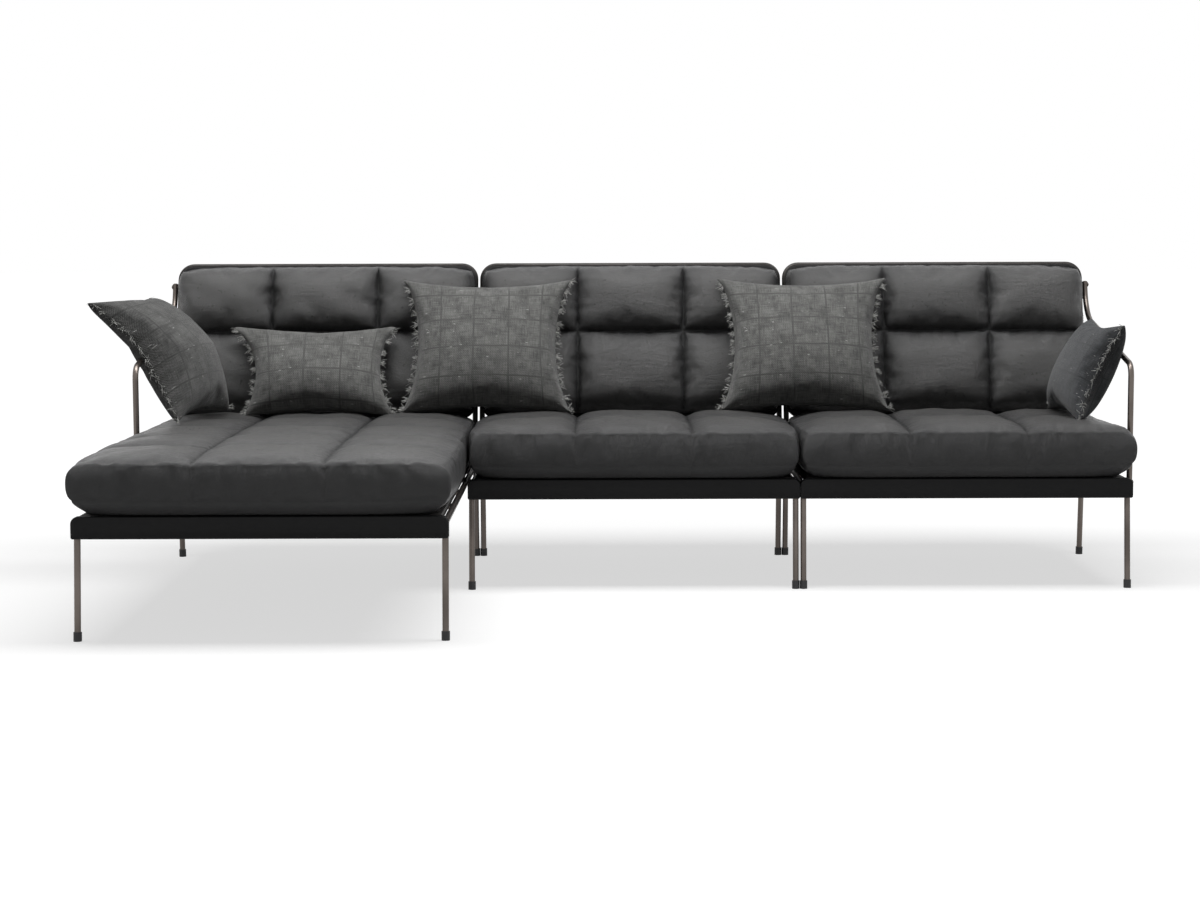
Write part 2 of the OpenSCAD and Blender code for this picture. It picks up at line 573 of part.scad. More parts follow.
// The pillows on the arms
left_arm_y = -365;
left_arm_lean = 39;
left_arm_turn = 78;
right_arm_y = -370;
right_arm_lean = 24;
right_arm_start = 190;
module left_arm_pillow() {
    reach = min([for (p = pillow_points(left_arm_size, left_arm_lean, left_arm_turn, pillow_n)) p.x]);
    seated_pillow(left_arm_size, left_arm_lean, left_arm_turn,
        arm_x(false) - left_overhang - reach, left_arm_y, [0, 0, -1], [0, 0, -1]);
}
module right_arm_pillow() seated_pillow(right_arm_size, right_arm_lean, -90,
    3 * module_w - right_arm_start, right_arm_y, [1, 0, 0], [-sin(right_arm_lean), 0, -cos(right_arm_lean)]);

side_frame(0, false, true);  // chaise_left_frame
side_frame(0, true);  // chaise_right_frame
side_frame(1, false);  // middle_left_frame
side_frame(1, true);  // middle_right_frame
side_frame(2, false);  // right_left_frame
side_frame(2, true, true);  // right_right_frame
cross_bars(0);  // chaise_cross_bars
cross_bars(1);  // middle_cross_bars
cross_bars(2);  // right_cross_bars
foot_caps(0);  // chaise_foot_caps
foot_caps(1);  // middle_foot_caps
foot_caps(2);  // right_foot_caps
front_rail(0);  // chaise_front_rail
front_rail(1);  // middle_front_rail
front_rail(2);  // right_front_rail
rear_rail(0);  // chaise_rear_rail
rear_rail(1);  // middle_rear_rail
rear_rail(2);  // right_rear_rail
platform(0);  // chaise_platform
platform(1);  // middle_platform
platform(2);  // right_platform
webbing(0);  // chaise_webbing
webbing(1);  // middle_webbing
webbing(2);  // right_webbing
back_hoop(0, drilled_left = true);  // chaise_back_hoop
back_hoop(1);  // middle_back_hoop
back_hoop(2, drilled_right = true);  // right_back_hoop
back_cross_bars();
joining_clips();
back_panel(0);  // chaise_back_panel
back_panel(1);  // middle_back_panel
back_panel(2);  // right_back_panel
arm(false);  // left_arm
arm(true);  // right_arm
arm_bolts();
seat_cushion(0);  // chaise_seat_cushion
seat_cushion(1);  // middle_seat_cushion
seat_cushion(2);  // right_seat_cushion
back_cushion(0);  // chaise_back_cushion
back_cushion(1);  // middle_back_cushion
back_cushion(2);  // right_back_cushion
left_arm_pillow();
lumbar_pillow();
left_square_pillow();
right_square_pillow();
right_arm_pillow();
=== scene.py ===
"""Dressed model of a modular chaise sofa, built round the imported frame.

Three quilted leather modules stand on bent rod frames, with a rod arm at each end and five woven
throw pillows. All lengths are in metres, in the frame's own axes.
"""
import logging
import math
from collections.abc import Iterable, Sequence
from dataclasses import dataclass, field
from enum import Enum
from typing import Any, ClassVar

import bpy
import numpy as np
from mathutils import Matrix, Vector


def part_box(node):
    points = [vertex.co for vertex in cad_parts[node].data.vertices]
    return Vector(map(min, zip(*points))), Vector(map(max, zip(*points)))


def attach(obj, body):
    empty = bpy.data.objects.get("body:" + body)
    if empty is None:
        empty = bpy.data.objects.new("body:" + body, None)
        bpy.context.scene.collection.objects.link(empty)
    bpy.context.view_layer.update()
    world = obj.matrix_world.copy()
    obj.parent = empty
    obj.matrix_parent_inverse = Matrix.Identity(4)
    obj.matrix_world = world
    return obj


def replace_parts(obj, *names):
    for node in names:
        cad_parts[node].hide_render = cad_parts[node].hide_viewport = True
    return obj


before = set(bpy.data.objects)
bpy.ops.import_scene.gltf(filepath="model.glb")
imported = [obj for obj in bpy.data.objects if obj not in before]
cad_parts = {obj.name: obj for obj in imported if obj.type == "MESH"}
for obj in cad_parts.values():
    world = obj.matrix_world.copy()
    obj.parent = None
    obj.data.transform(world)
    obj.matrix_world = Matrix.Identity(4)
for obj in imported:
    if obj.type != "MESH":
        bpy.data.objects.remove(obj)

Colour = tuple[float, float, float]
Socket = bpy.types.NodeSocket
Material = bpy.types.Material
Piece = bpy.types.Object

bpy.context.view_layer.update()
LOG = logging.getLogger("sofa")
MODULES = ("chaise", "middle", "right")
MODULE_PITCH = 0.9
LEFT_EDGE = -1.3005
RECLINE = math.radians(13)
HOOP_FOOT = (0.6396228, 0.28)
SEAT_TRAVEL = 0.15


class Slot(Enum):
    """The names of the record's material slots for the new pieces; this script does not set them."""

    CUSHION = "cushion_leather"
    RAIL = "rail_leather"
    STRAP = "strap"
    CLOTH = "pillow_cloth"


class Cloth(Enum):
    """The wools that the pillows are covered in, by the name of their finish."""

    GREY = "wool"
    DARK = "dark_wool"
    SLATE = "slate_wool"


# ---------------------------------------------------------------- materials


def tint(colour: Colour, share: float) -> Colour:
    """Gives a share of a colour."""
    return tuple(share * part for part in colour)


@dataclass
class Shader:
    """The node tree of one material, built a node at a time."""

    name: str
    material: Material = field(init=False)

    def __post_init__(self) -> None:
        """Starts the material with an empty tree."""
        self.material = bpy.data.materials.new(self.name)
        self.material.use_nodes = True
        self.material.node_tree.nodes.clear()

    def add(self, kind: str, inputs: dict[str | int, Any] | None = None, **settings: Any) -> bpy.types.Node:
        """Adds a node.

        Args:
            kind: the node's type without its ShaderNode prefix.
            inputs: a value or a socket for each input that isn't left at its default.
            settings: the node's own properties.

        Returns:
            The new node.
        """
        node = self.material.node_tree.nodes.new("ShaderNode" + kind)
        for name, value in settings.items():
            setattr(node, name, value)
        for key, value in (inputs or {}).items():
            if isinstance(value, Socket):
                self.material.node_tree.links.new(value, node.inputs[key])
            else:
                node.inputs[key].default_value = value
        return node

    def place(self, scale: Sequence[float] = (1, 1, 1), uv: str = "") -> Socket:
        """Gives coordinates in metres, of the object or of a flat cloth map, stretched by a scale."""
        source = self.add("UVMap", uv_map=uv).outputs[0] if uv else self.add("TexCoord").outputs["Object"]
        return self.add("VectorMath", {0: source, 1: tuple(scale)}, operation="MULTIPLY").outputs[0]

    def noise(self, vector: Socket, scale: float, detail: float = 2.0,
              rough: float = 0.5, distortion: float = 0.0) -> Socket:
        """Gives a noise value from 0 to 1."""
        return self.add("TexNoise", {"Vector": vector, "Scale": scale, "Detail": detail,
                                     "Roughness": rough, "Distortion": distortion}).outputs[0]

    def cells(self, vector: Socket, scale: float) -> Socket:
        """Gives the distance to the nearest cell's edge."""
        inputs = {"Vector": vector, "Scale": scale}
        return self.add("TexVoronoi", inputs, feature="DISTANCE_TO_EDGE").outputs["Distance"]

    def span(self, value: Socket, low: float, high: float,
             to_low: float = 0.0, to_high: float = 1.0) -> Socket:
        """Maps a range of values smoothly onto another."""
        return self.add("MapRange", {0: value, 1: low, 2: high, 3: to_low, 4: to_high},
                        interpolation_type="SMOOTHSTEP").outputs[0]

    def math(self, operation: str, a: Any, b: Any = 0.0) -> Socket:
        """Gives the result of one operation on two numbers or sockets."""
        return self.add("Math", {0: a, 1: b}, operation=operation).outputs[0]

    def plus(self, a: Any, b: Any) -> Socket:
        """Gives the sum of two numbers or sockets."""
        return self.math("ADD", a, b)

    def times(self, a: Any, b: Any) -> Socket:
        """Gives the product of two numbers or sockets."""
        return self.math("MULTIPLY", a, b)

    def blend(self, factor: Any, a: Any, b: Any) -> Socket:
        """Mixes two colours, given as sockets or as red, green and blue."""
        colours = [c if isinstance(c, Socket) else (*c[:3], 1.0) for c in (a, b)]
        return self.add("Mix", {0: factor, 6: colours[0], 7: colours[1]}, data_type="RGBA").outputs[2]

    def mottled(self, value: Socket, colour: Colour, dark: float, light: float,
                low: float = 0.3, high: float = 0.7) -> Socket:
        """Varies a colour between a darker and a lighter share of it, as a value goes from low to high."""
        return self.blend(self.span(value, low, high), tint(colour, dark), tint(colour, light))

    def ridges(self, value: Socket, width: float) -> Socket:
        """Gives 0 along the lines where a noise crosses its middle, and 1 away from them."""
        return self.span(self.math("ABSOLUTE", self.math("SUBTRACT", value, 0.5)), 0.0, width)

    def attribute(self, name: str) -> Socket:
        """Gives a number that the mesh stores at its points."""
        return self.add("Attribute", attribute_name=name).outputs["Fac"]

    def bump(self, height: Socket, distance: float, strength: float = 1.0,
             normal: Socket | None = None) -> Socket:
        """Gives a normal raised by a height, over another normal if there is one."""
        inputs = {"Height": height, "Distance": distance, "Strength": strength}
        if normal is not None:
            inputs["Normal"] = normal
        return self.add("Bump", inputs).outputs[0]

    def finish(self, inputs: dict[str, Any]) -> Material:
        """Closes the tree with a surface of the given inputs."""
        surface = self.add("BsdfPrincipled", inputs)
        self.add("OutputMaterial", {"Surface": surface.outputs[0]})
        return self.material


@dataclass(frozen=True)
class SatinNickel:
    """Warm grey nickel on the bent rods, finely brushed along them."""

    name: str = "satin_nickel"
    colour: Colour = (0.125, 0.107, 0.096)
    roughness: float = 0.33
    brushed: float = 0.14

    def material(self) -> Material:
        """Builds the material, with cloudy and finely brushed variation."""
        s = Shader(self.name)
        at = s.place()
        cloud = s.noise(at, 9, 3)
        fine = s.noise(s.place((900, 60, 900)), 1, 2)
        rough = s.plus(s.times(fine, self.brushed), self.roughness - self.brushed / 2)
        return s.finish({"Base Color": s.mottled(cloud, self.colour, 0.80, 1.22), "Metallic": 1.0,
                         "Roughness": rough, "Normal": s.bump(fine, 0.00004, 0.5)})


@dataclass(frozen=True)
class Rubber:
    """Matt black moulded plastic of the foot caps and clips."""

    colour: Colour = (0.016, 0.016, 0.017)

    def material(self) -> Material:
        """Builds the material, with a fine moulded texture."""
        s = Shader("black_moulding")
        fine = s.noise(s.place(), 1500, 2)
        cloud = s.noise(s.place(), 40, 2)
        return s.finish({"Base Color": s.mottled(cloud, self.colour, 1.0, 1.7),
                         "Roughness": s.span(cloud, 0.2, 0.8, 0.48, 0.62), "Normal": s.bump(fine, 0.00008, 0.4)})


@dataclass(frozen=True)
class Leather:
    """Grained leather: pebbles, creases, crests lighter for wear and a painted highlight, and painted shade along
    the seams and on the boxed sides.

    Pebbles to wrinkles are given by their number in a metre; grain and crease are depths.
    """

    name: str
    colour: Colour
    worn_and_lit: Colour
    grain: float = 0.00022
    crease: float = 0.0017
    roughness: float = 0.36
    gloss: float = 0.36
    pebbles: float = 620
    pits: float = 1500
    pores: float = 2600
    folds: float = 26
    wrinkles: float = 95

    def material(self) -> Material:
        """Builds the material; the mesh stores where its crests, borders and seams lie."""
        s = Shader(self.name)
        at = s.place()
        shift = s.blend(0.5, s.noise(at, 60, 2), (0.5, 0.5, 0.5))
        warped = s.add("VectorMath", {0: at, 1: shift}, operation="ADD").outputs[0]
        pebbles = s.span(s.cells(at, self.pebbles), 0.0, 0.16)
        fine = s.span(s.cells(at, self.pits), 0.0, 0.2)
        pores = s.noise(at, self.pores, 1)
        crest = s.attribute("crest")
        border = s.attribute("border")
        cloud = s.noise(at, 4.5, 3, 0.6)
        mottle = s.noise(at, 70, 3, 0.6)
        # Crests lighten towards the second colour: wear together with a painted highlight on the tops of the puffs;
        # the rest of the tone varies at random.
        tone = s.plus(s.times(crest, 0.50), s.times(cloud, 0.65))
        tone = s.plus(tone, s.times(mottle, 0.26))
        colour = s.blend(s.span(tone, 0.30, 1.05), self.colour, self.worn_and_lit)
        # Painted shade: the boxed sides are darkened to about half their colour.
        colour = s.blend(s.span(border, 0.6, 1.0, 0.0, 0.50), colour, tint(self.colour, 0.55))
        # Painted shade: a near black band along each seam's valley.
        colour = s.blend(s.attribute("seam"), colour, tint(self.colour, 0.12))
        colour = s.blend(s.span(pebbles, 0.0, 0.6, 0.34, 0.0), colour, tint(self.colour, 0.45))
        rough = s.plus(s.span(mottle, 0.25, 0.75, -0.05, 0.06), self.roughness)
        rough = s.plus(rough, s.times(crest, -0.05))
        veins = s.ridges(s.noise(warped, self.folds, 4, 0.62, 1.1), 0.05)
        lines = s.ridges(s.noise(warped, self.wrinkles, 3, 0.6, 0.8), 0.06)
        streaks = s.ridges(s.noise(s.place((5, 21, 21)), 1, 4, 0.6, 0.7), 0.07)
        worn_part = s.plus(s.times(border, 0.65), 0.35)
        wrinkles = s.times(s.plus(veins, s.times(lines, 0.5)), worn_part)
        wrinkle = s.bump(s.plus(wrinkles, s.times(streaks, 0.45)), self.crease, 0.5)
        height = s.plus(pebbles, s.times(s.plus(fine, pores), 0.25))
        return s.finish({"Base Color": colour, "Roughness": rough, "Specular IOR Level": self.gloss,
                         "Normal": s.bump(height, self.grain, 0.7, wrinkle)})


@dataclass(frozen=True)
class Thread:
    """Waxed sewing thread, twisted."""

    name: str
    colour: Colour

    def material(self) -> Material:
        """Builds the material, with a fine twist and some fading."""
        s = Shader(self.name)
        twist = s.noise(s.place(), 1400, 2)
        return s.finish({"Base Color": s.mottled(twist, self.colour, 1.0, 1.7), "Roughness": 0.55,
                         "Normal": s.bump(twist, 0.0002, 0.6)})


@dataclass(frozen=True)
class Plywood:
    """Black stained plywood of the platform boards: long grain and laminated edges."""

    light: Colour = (0.044, 0.040, 0.037)
    dark: Colour = (0.018, 0.016, 0.015)

    def material(self) -> Material:
        """Builds the material from stretched grain, and plies by height on the edges."""
        s = Shader("plywood")
        grain = s.noise(s.place((42, 2.2, 42)), 1, 6, 0.6, 1.4)
        pores = s.noise(s.place((1400, 40, 1400)), 1, 2)
        ply = s.add("TexWave", {"Vector": s.place(), "Scale": 95.0, "Distortion": 0.25},
                    bands_direction="Z").outputs["Fac"]
        level = s.add("SeparateXYZ", {0: s.add("NewGeometry").outputs["Normal"]}).outputs["Z"]
        side = s.span(s.math("ABSOLUTE", level), 0.3, 0.7, 1.0, 0.0)
        colour = s.blend(s.span(grain, 0.28, 0.72), self.dark, self.light)
        colour = s.blend(s.times(side, s.span(ply, 0.35, 0.65, 0.0, 0.75)), colour, self.dark)
        height = s.plus(grain, s.times(pores, 0.6))
        return s.finish({"Base Color": colour, "Roughness": s.span(grain, 0.2, 0.8, 0.55, 0.72),
                         "Normal": s.bump(height, 0.0003, 0.5)})


@dataclass(frozen=True)
class ElasticWebbing:
    """Black woven elastic, with its ribs across the strap and two brown guide threads."""

    colour: Colour = (0.022, 0.021, 0.021)
    guide: Colour = (0.16, 0.085, 0.045)
    guide_off: float = 0.0145
    rib: float = 0.0021
    yarn: float = 0.0017

    def material(self) -> Material:
        """Builds the material from a flat map along and across the strap."""
        s = Shader("elastic_webbing")
        parts = s.add("SeparateXYZ", {0: s.place(uv="Cloth")})
        along, across = parts.outputs["X"], parts.outputs["Y"]
        ribs = s.math("SINE", s.times(along, 2 * math.pi / self.rib))
        yarns = s.math("SINE", s.times(across, 2 * math.pi / self.yarn))
        off = s.math("ABSOLUTE", s.math("SUBTRACT", s.math("ABSOLUTE", across), self.guide_off))
        line = s.span(off, 0.0008, 0.0016, 1.0, 0.0)
        weave = s.times(ribs, yarns)
        colour = s.blend(line, self.colour, self.guide)
        colour = s.blend(s.span(weave, -1.0, 1.0, 0.0, 0.4), colour, tint(self.colour, 3.2))
        return s.finish({"Base Color": colour, "Roughness": 0.82, "Sheen Weight": 0.1,
                         "Normal": s.bump(weave, 0.0004, 0.8)})


@dataclass(frozen=True)
class CheckedWool:
    """Coarse grey woven wool with a faint window check and light slubs in its cells."""

    name: str
    colour: Colour = (0.104, 0.104, 0.100)
    check: tuple[float, float] = (0.100, 0.088)
    check_from: float = 20.35
    thread: float = 0.0026
    slub: Colour = (0.36, 0.36, 0.35)

    def material(self) -> Material:
        """Builds the material from the flat map of the cloth, in metres."""
        s = Shader(self.name)
        flat = s.place(uv="Cloth")
        parts = s.add("SeparateXYZ", {0: flat})
        u, v = parts.outputs["X"], parts.outputs["Y"]
        wave = [s.math("SINE", s.times(w, math.pi / self.thread)) for w in (u, v)]
        weave = s.times(wave[0], wave[1])
        warp = s.noise(s.place((520, 28, 1), "Cloth"), 1, 2, 0.6)
        weft = s.noise(s.place((24, 480, 1), "Cloth"), 1, 2, 0.6)
        patch = s.noise(s.place((1, 1, 1), "Cloth"), 22, 4, 0.65)
        tone = s.plus(s.times(s.plus(warp, weft), 0.32), s.times(patch, 0.4))
        colour = s.mottled(tone, self.colour, 0.46, 1.66, 0.36, 0.70)
        lines = []
        for w, pitch in ((u, self.check[0]), (v, self.check[1])):
            off = s.math("PINGPONG", s.plus(w, pitch * self.check_from), pitch / 2)
            lines.append(s.span(off, 0.0012, 0.0034, 1.0, 0.0))
        line = s.times(s.math("MAXIMUM", lines[0], lines[1]), s.span(warp, 0.25, 0.6, 0.45, 0.9))
        line = s.times(line, s.span(patch, 0.35, 0.6, 0.35, 1.0))
        colour = s.blend(line, colour, tint(self.colour, 0.52))
        dash = s.noise(s.place((46, 205, 1), "Cloth"), 1, 1, 0.4)
        wide = self.check[0]
        from_line = s.math("PINGPONG", s.plus(u, wide * self.check_from), wide / 2)
        middle = s.span(from_line, wide * 0.22, wide * 0.36)
        spot = s.times(s.span(dash, 0.70, 0.76), middle)
        colour = s.blend(spot, colour, self.slub)
        height = s.plus(s.times(weave, 0.5), s.plus(tone, s.times(spot, 0.8)))
        return s.finish({"Base Color": colour, "Roughness": 0.92, "Sheen Weight": 0.22, "Sheen Roughness": 0.45,
                         "Specular IOR Level": 0.25, "Normal": s.bump(height, 0.0011, 0.85)})


@dataclass(frozen=True)
class Yarn:
    """Loose wool yarn of the frayed edges."""

    name: str
    colour: Colour

    def material(self) -> Material:
        """Builds the material, with fibres that differ in tone."""
        s = Shader(self.name)
        tone = s.noise(s.place(), 160, 3)
        fibre = s.noise(s.place(), 1800, 2)
        return s.finish({"Base Color": s.mottled(tone, self.colour, 0.55, 1.45), "Roughness": 0.95,
                         "Sheen Weight": 0.25, "Specular IOR Level": 0.2, "Normal": s.bump(fibre, 0.0004, 0.7)})


def made(recipe: Any) -> Any:
    """Gives a field that is filled with a recipe's material."""
    return field(default_factory=recipe.material)


@dataclass
class Finishes:
    """Every material of the sofa, built once."""

    nickel: Material = made(SatinNickel())
    # Painted shade: a darker copy of the satin nickel, put on the back hoops.
    smoked_nickel: Material = made(SatinNickel("smoked_nickel", (0.032, 0.030, 0.029), 0.46))
    rubber: Material = made(Rubber())
    plywood: Material = made(Plywood())
    webbing: Material = made(ElasticWebbing())
    # The second colour is what random tone, wear and the painted highlight on the crests lighten towards.
    cushion: Material = made(Leather("charcoal_leather", (0.030, 0.030, 0.031), (0.070, 0.069, 0.068)))
    rail: Material = made(Leather(
        "black_rail_leather", (0.0060, 0.0060, 0.0064), (0.012, 0.012, 0.012), crease=0.0004, roughness=0.48,
        gloss=0.16))
    thread: Material = made(Thread("charcoal_thread", (0.011, 0.011, 0.012)))
    rail_thread: Material = made(Thread("black_thread", (0.014, 0.014, 0.014)))
    wool: Material = made(CheckedWool("checked_wool"))
    dark_wool: Material = made(CheckedWool("dark_wool", (0.076, 0.076, 0.074)))
    slate_wool: Material = made(CheckedWool("slate_wool", (0.044, 0.046, 0.049)))
    yarn: Material = made(Yarn("grey_yarn", (0.10, 0.10, 0.097)))
    pale_yarn: Material = made(Yarn("pale_yarn", (0.36, 0.36, 0.345)))


# ---------------------------------------------------------------- mesh tools


@dataclass
class Mesh:
    """Points and faces gathered for one object."""

    points: list[np.ndarray] = field(default_factory=list)
    faces: list[tuple[int, ...]] = field(default_factory=list)
    count: int = 0

    def add(self, points: np.ndarray, faces: Iterable[Sequence[int]]) -> int:
        """Adds points and faces that count from their own first point.

        Returns:
            The index of the first new point.
        """
        first = self.count
        self.points.append(np.asarray(points, float).reshape(-1, 3))
        self.count += len(self.points[-1])
        self.faces.extend(tuple(first + i for i in f) for f in faces)
        return first

    def build(self, name: str, material: Material, smooth: bool = True,
              place: Matrix | None = None) -> Piece:
        """Makes the object, linked to the scene, with its points set in place.

        Args:
            name: the object's name.
            material: its material.
            smooth: whether the faces are shaded smooth.
            place: what carries the points into the sofa's frame.

        Returns:
            The new object, whose own origin stays at the frame's.
        """
        data = bpy.data.meshes.new(name)
        data.from_pydata(np.concatenate(self.points).tolist(), [], self.faces)
        if place is not None:
            data.transform(place)
        data.validate()
        data.materials.append(material)
        data.polygons.foreach_set("use_smooth", [smooth] * len(data.polygons))
        data.update()
        piece = bpy.data.objects.new(name, data)
        bpy.context.scene.collection.objects.link(piece)
        return piece


def grid_faces(columns: int, rows: int) -> list[tuple[int, ...]]:
    """Gives the faces between the points of a grid, row by row."""
    n = columns + 1
    return [(j * n + i, j * n + i + 1, (j + 1) * n + i + 1, (j + 1) * n + i)
            for j in range(rows) for i in range(columns)]


def coordinates(piece: Piece) -> np.ndarray:
    """Gives the points of an object's mesh."""
    found = np.empty(len(piece.data.vertices) * 3)
    piece.data.vertices.foreach_get("co", found)
    return found.reshape(-1, 3)


def set_coordinates(piece: Piece, points: np.ndarray) -> None:
    """Moves the points of an object's mesh."""
    piece.data.vertices.foreach_set("co", np.ascontiguousarray(points, float).ravel())
    piece.data.update()


def store(piece: Piece, name: str, values: np.ndarray) -> None:
    """Stores a number at each point of an object's mesh."""
    layer = piece.data.attributes.new(name, "FLOAT", "POINT")
    layer.data.foreach_set("value", np.asarray(values, np.float32))


def store_map(piece: Piece, places: np.ndarray) -> None:
    """Gives a mesh its flat cloth map, from one place for each point."""
    corner = np.empty(len(piece.data.loops), np.int32)
    piece.data.loops.foreach_get("vertex_index", corner)
    layer = piece.data.uv_layers.new(name="Cloth")
    layer.uv.foreach_set("vector", np.ascontiguousarray(places[corner], np.float32).ravel())


def applied(piece: Piece) -> None:
    """Applies all the modifiers of an object to its mesh."""
    graph = bpy.context.evaluated_depsgraph_get()
    data = bpy.data.meshes.new_from_object(piece.evaluated_get(graph), preserve_all_data_layers=True,
                                           depsgraph=graph)
    piece.modifiers.clear()
    old = piece.data
    piece.data = data
    bpy.data.meshes.remove(old)
    data.name = piece.name


def subdivided(piece: Piece, levels: int = 1) -> None:
    """Rounds an object's mesh with subdivision surfaces."""
    modifier = piece.modifiers.new("Subdivision", "SUBSURF")
    modifier.levels = modifier.render_levels = levels
    modifier.boundary_smooth = "PRESERVE_CORNERS"
    modifier.uv_smooth = "PRESERVE_CORNERS"
    applied(piece)


def point_normals(piece: Piece) -> np.ndarray:
    """Gives the normal at each point of an object's mesh."""
    found = np.empty(len(piece.data.vertices) * 3, np.float32)
    piece.data.vertex_normals.foreach_get("vector", found)
    return found.reshape(-1, 3).astype(float)


def spaced(path: np.ndarray, pitch: float, start: float = 0.0,
           look: float = 0.002) -> tuple[np.ndarray, np.ndarray, np.ndarray]:
    """Walks a path in equal steps.

    Args:
        path: the points it runs through.
        pitch: the length of a step.
        start: where the first step lies.
        look: how far ahead and behind a place its direction is taken from.

    Returns:
        The places, the path's direction there, and how far along the path's own points they lie.
    """
    steps = np.linalg.norm(np.diff(path, axis=0), axis=1)
    far = np.concatenate([[0], np.cumsum(steps)])
    at = np.arange(start, far[-1], pitch)
    share = np.interp(at, far, np.arange(len(path)))
    place, ahead, behind = (np.stack([np.interp(at + shift, far, path[:, k]) for k in range(3)], 1)
                            for shift in (0.0, look, -look))
    way = ahead - behind
    way /= np.linalg.norm(way, axis=1)[:, None] + 1e-12
    return place, way, share


@dataclass(frozen=True)
class Stitch:
    """One stitch of a seam: a short bead of thread that dips at both ends."""

    pitch: float = 0.0075
    length: float = 0.0052
    thick: float = 0.0010
    proud: float = 0.0003
    shoulder: float = 0.27

    def run(self, mesh: Mesh, path: np.ndarray, out: np.ndarray, start: float = 0.003) -> None:
        """Lays stitches along a path on a surface.

        Args:
            mesh: what the stitches are added to.
            path: points on the surface.
            out: the surface's normals at those points.
            start: where the first stitch lies.
        """
        places, ways, share = spaced(path, self.pitch, start)
        low = share.astype(int).clip(0, len(path) - 2)
        part = (share - low)[:, None]
        normals = out[low] * (1 - part) + out[low + 1] * part
        normals /= np.linalg.norm(normals, axis=1)[:, None] + 1e-12
        ring = [(math.cos(a), math.sin(a)) for a in (0, math.pi / 2, math.pi, 3 * math.pi / 2)]
        faces = [(0, 1 + k, 1 + (k + 1) % 4) for k in range(4)]
        faces += [(1 + k, 5 + k, 5 + (k + 1) % 4, 1 + (k + 1) % 4) for k in range(4)]
        faces += [(5 + k, 9, 5 + (k + 1) % 4) for k in range(4)]
        for place, way, normal in zip(places, ways, normals):
            side = np.cross(normal, way)
            lift = place + normal * self.proud
            r = self.thick / 2
            points = [place - way * self.length / 2 - normal * r]
            for end in (-self.shoulder, self.shoulder):
                points += [lift + way * end * self.length + side * c * r + normal * s * r for c, s in ring]
            points.append(place + way * self.length / 2 - normal * r)
            mesh.add(np.array(points), faces)


@dataclass(frozen=True)
class Inflation:
    """How a sewn cover is blown up over its filling by cloth simulation."""

    pressure: float = 4.0
    frames: int = 20
    slack: float = 0.03
    tension: float = 15.0
    bending: float = 0.4
    cap: float = 0.022

    def run(self, piece: Piece, pins: np.ndarray) -> None:
        """Simulates a cover and keeps the result in its mesh.

        Args:
            piece: the cover.
            pins: for each point, 1 where a seam or the base holds it and 0 where it is free.
        """
        rest = coordinates(piece)
        group = piece.vertex_groups.new(name="held")
        for weight in np.unique(pins[pins > 0]):
            group.add(np.flatnonzero(pins == weight).tolist(), float(weight), "REPLACE")
        modifier = piece.modifiers.new("Cover", "CLOTH")
        settings = {"quality": 6, "mass": 0.3, "air_damping": 2.0, "tension_stiffness": self.tension,
                    "compression_stiffness": self.tension, "shear_stiffness": 0.4 * self.tension,
                    "bending_stiffness": self.bending, "tension_damping": 8.0, "compression_damping": 8.0,
                    "shrink_min": -self.slack, "vertex_group_mass": "held", "pin_stiffness": 8.0,
                    "use_pressure": True, "uniform_pressure_force": self.pressure}
        for name, value in settings.items():
            setattr(modifier.settings, name, value)
        modifier.settings.effector_weights.gravity = 0.0
        modifier.collision_settings.use_collision = False
        modifier.point_cache.frame_start = 1
        modifier.point_cache.frame_end = self.frames
        scene = bpy.context.scene
        for step in range(1, self.frames + 1):
            scene.frame_set(step)
        graph = bpy.context.evaluated_depsgraph_get()
        blown = coordinates(piece.evaluated_get(graph))
        piece.modifiers.remove(modifier)
        piece.vertex_groups.remove(group)
        scene.frame_set(1)
        move = blown - rest
        far = np.linalg.norm(move, axis=1)[:, None]
        move *= self.cap * np.tanh(far / self.cap) / (far + 1e-9)
        set_coordinates(piece, rest + move)


# ---------------------------------------------------------------- frame


@dataclass(frozen=True)
class RodWork:
    """The rods, caps, clips and boards that come from the frame as they are."""

    finishes: Finishes

    def dress(self) -> int:
        """Gives each carried-over node its finish.

        Returns:
            How many nodes were dressed.
        """
        endings = {"_frame": self.finishes.nickel, "_cross_bars": self.finishes.nickel,
                   "_hoop": self.finishes.smoked_nickel, "_arm": self.finishes.nickel,
                   "_bolts": self.finishes.nickel, "_foot_caps": self.finishes.rubber,
                   "_clips": self.finishes.rubber, "_platform": self.finishes.plywood}
        done = 0
        for name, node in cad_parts.items():
            for ending, material in endings.items():
                if name.endswith(ending):
                    node.data.materials.clear()
                    node.data.materials.append(material)
                    done += 1
        return done


@dataclass(frozen=True)
class Outline:
    """A rounded rectangle that keeps its corners' centres when it is inset."""

    width: float
    height: float
    upper: float
    lower: float
    steps: int = 10

    def ring(self, inset: float) -> np.ndarray:
        """Gives the points of the outline, inset, as pairs across and up."""
        found = []
        corners = ((1, 1, self.upper), (-1, 1, self.upper), (-1, -1, self.lower), (1, -1, self.lower))
        for k, (sx, sy, radius) in enumerate(corners):
            cx = self.width / 2 + sx * (self.width / 2 - radius)
            cy = self.height / 2 + sy * (self.height / 2 - radius)
            for i in range(self.steps + 1):
                turn = math.radians(90 * (k + i / self.steps))
                r = max(radius - inset, 0.0004)
                found.append((cx + r * math.cos(turn), cy + r * math.sin(turn)))
        return np.array(found)


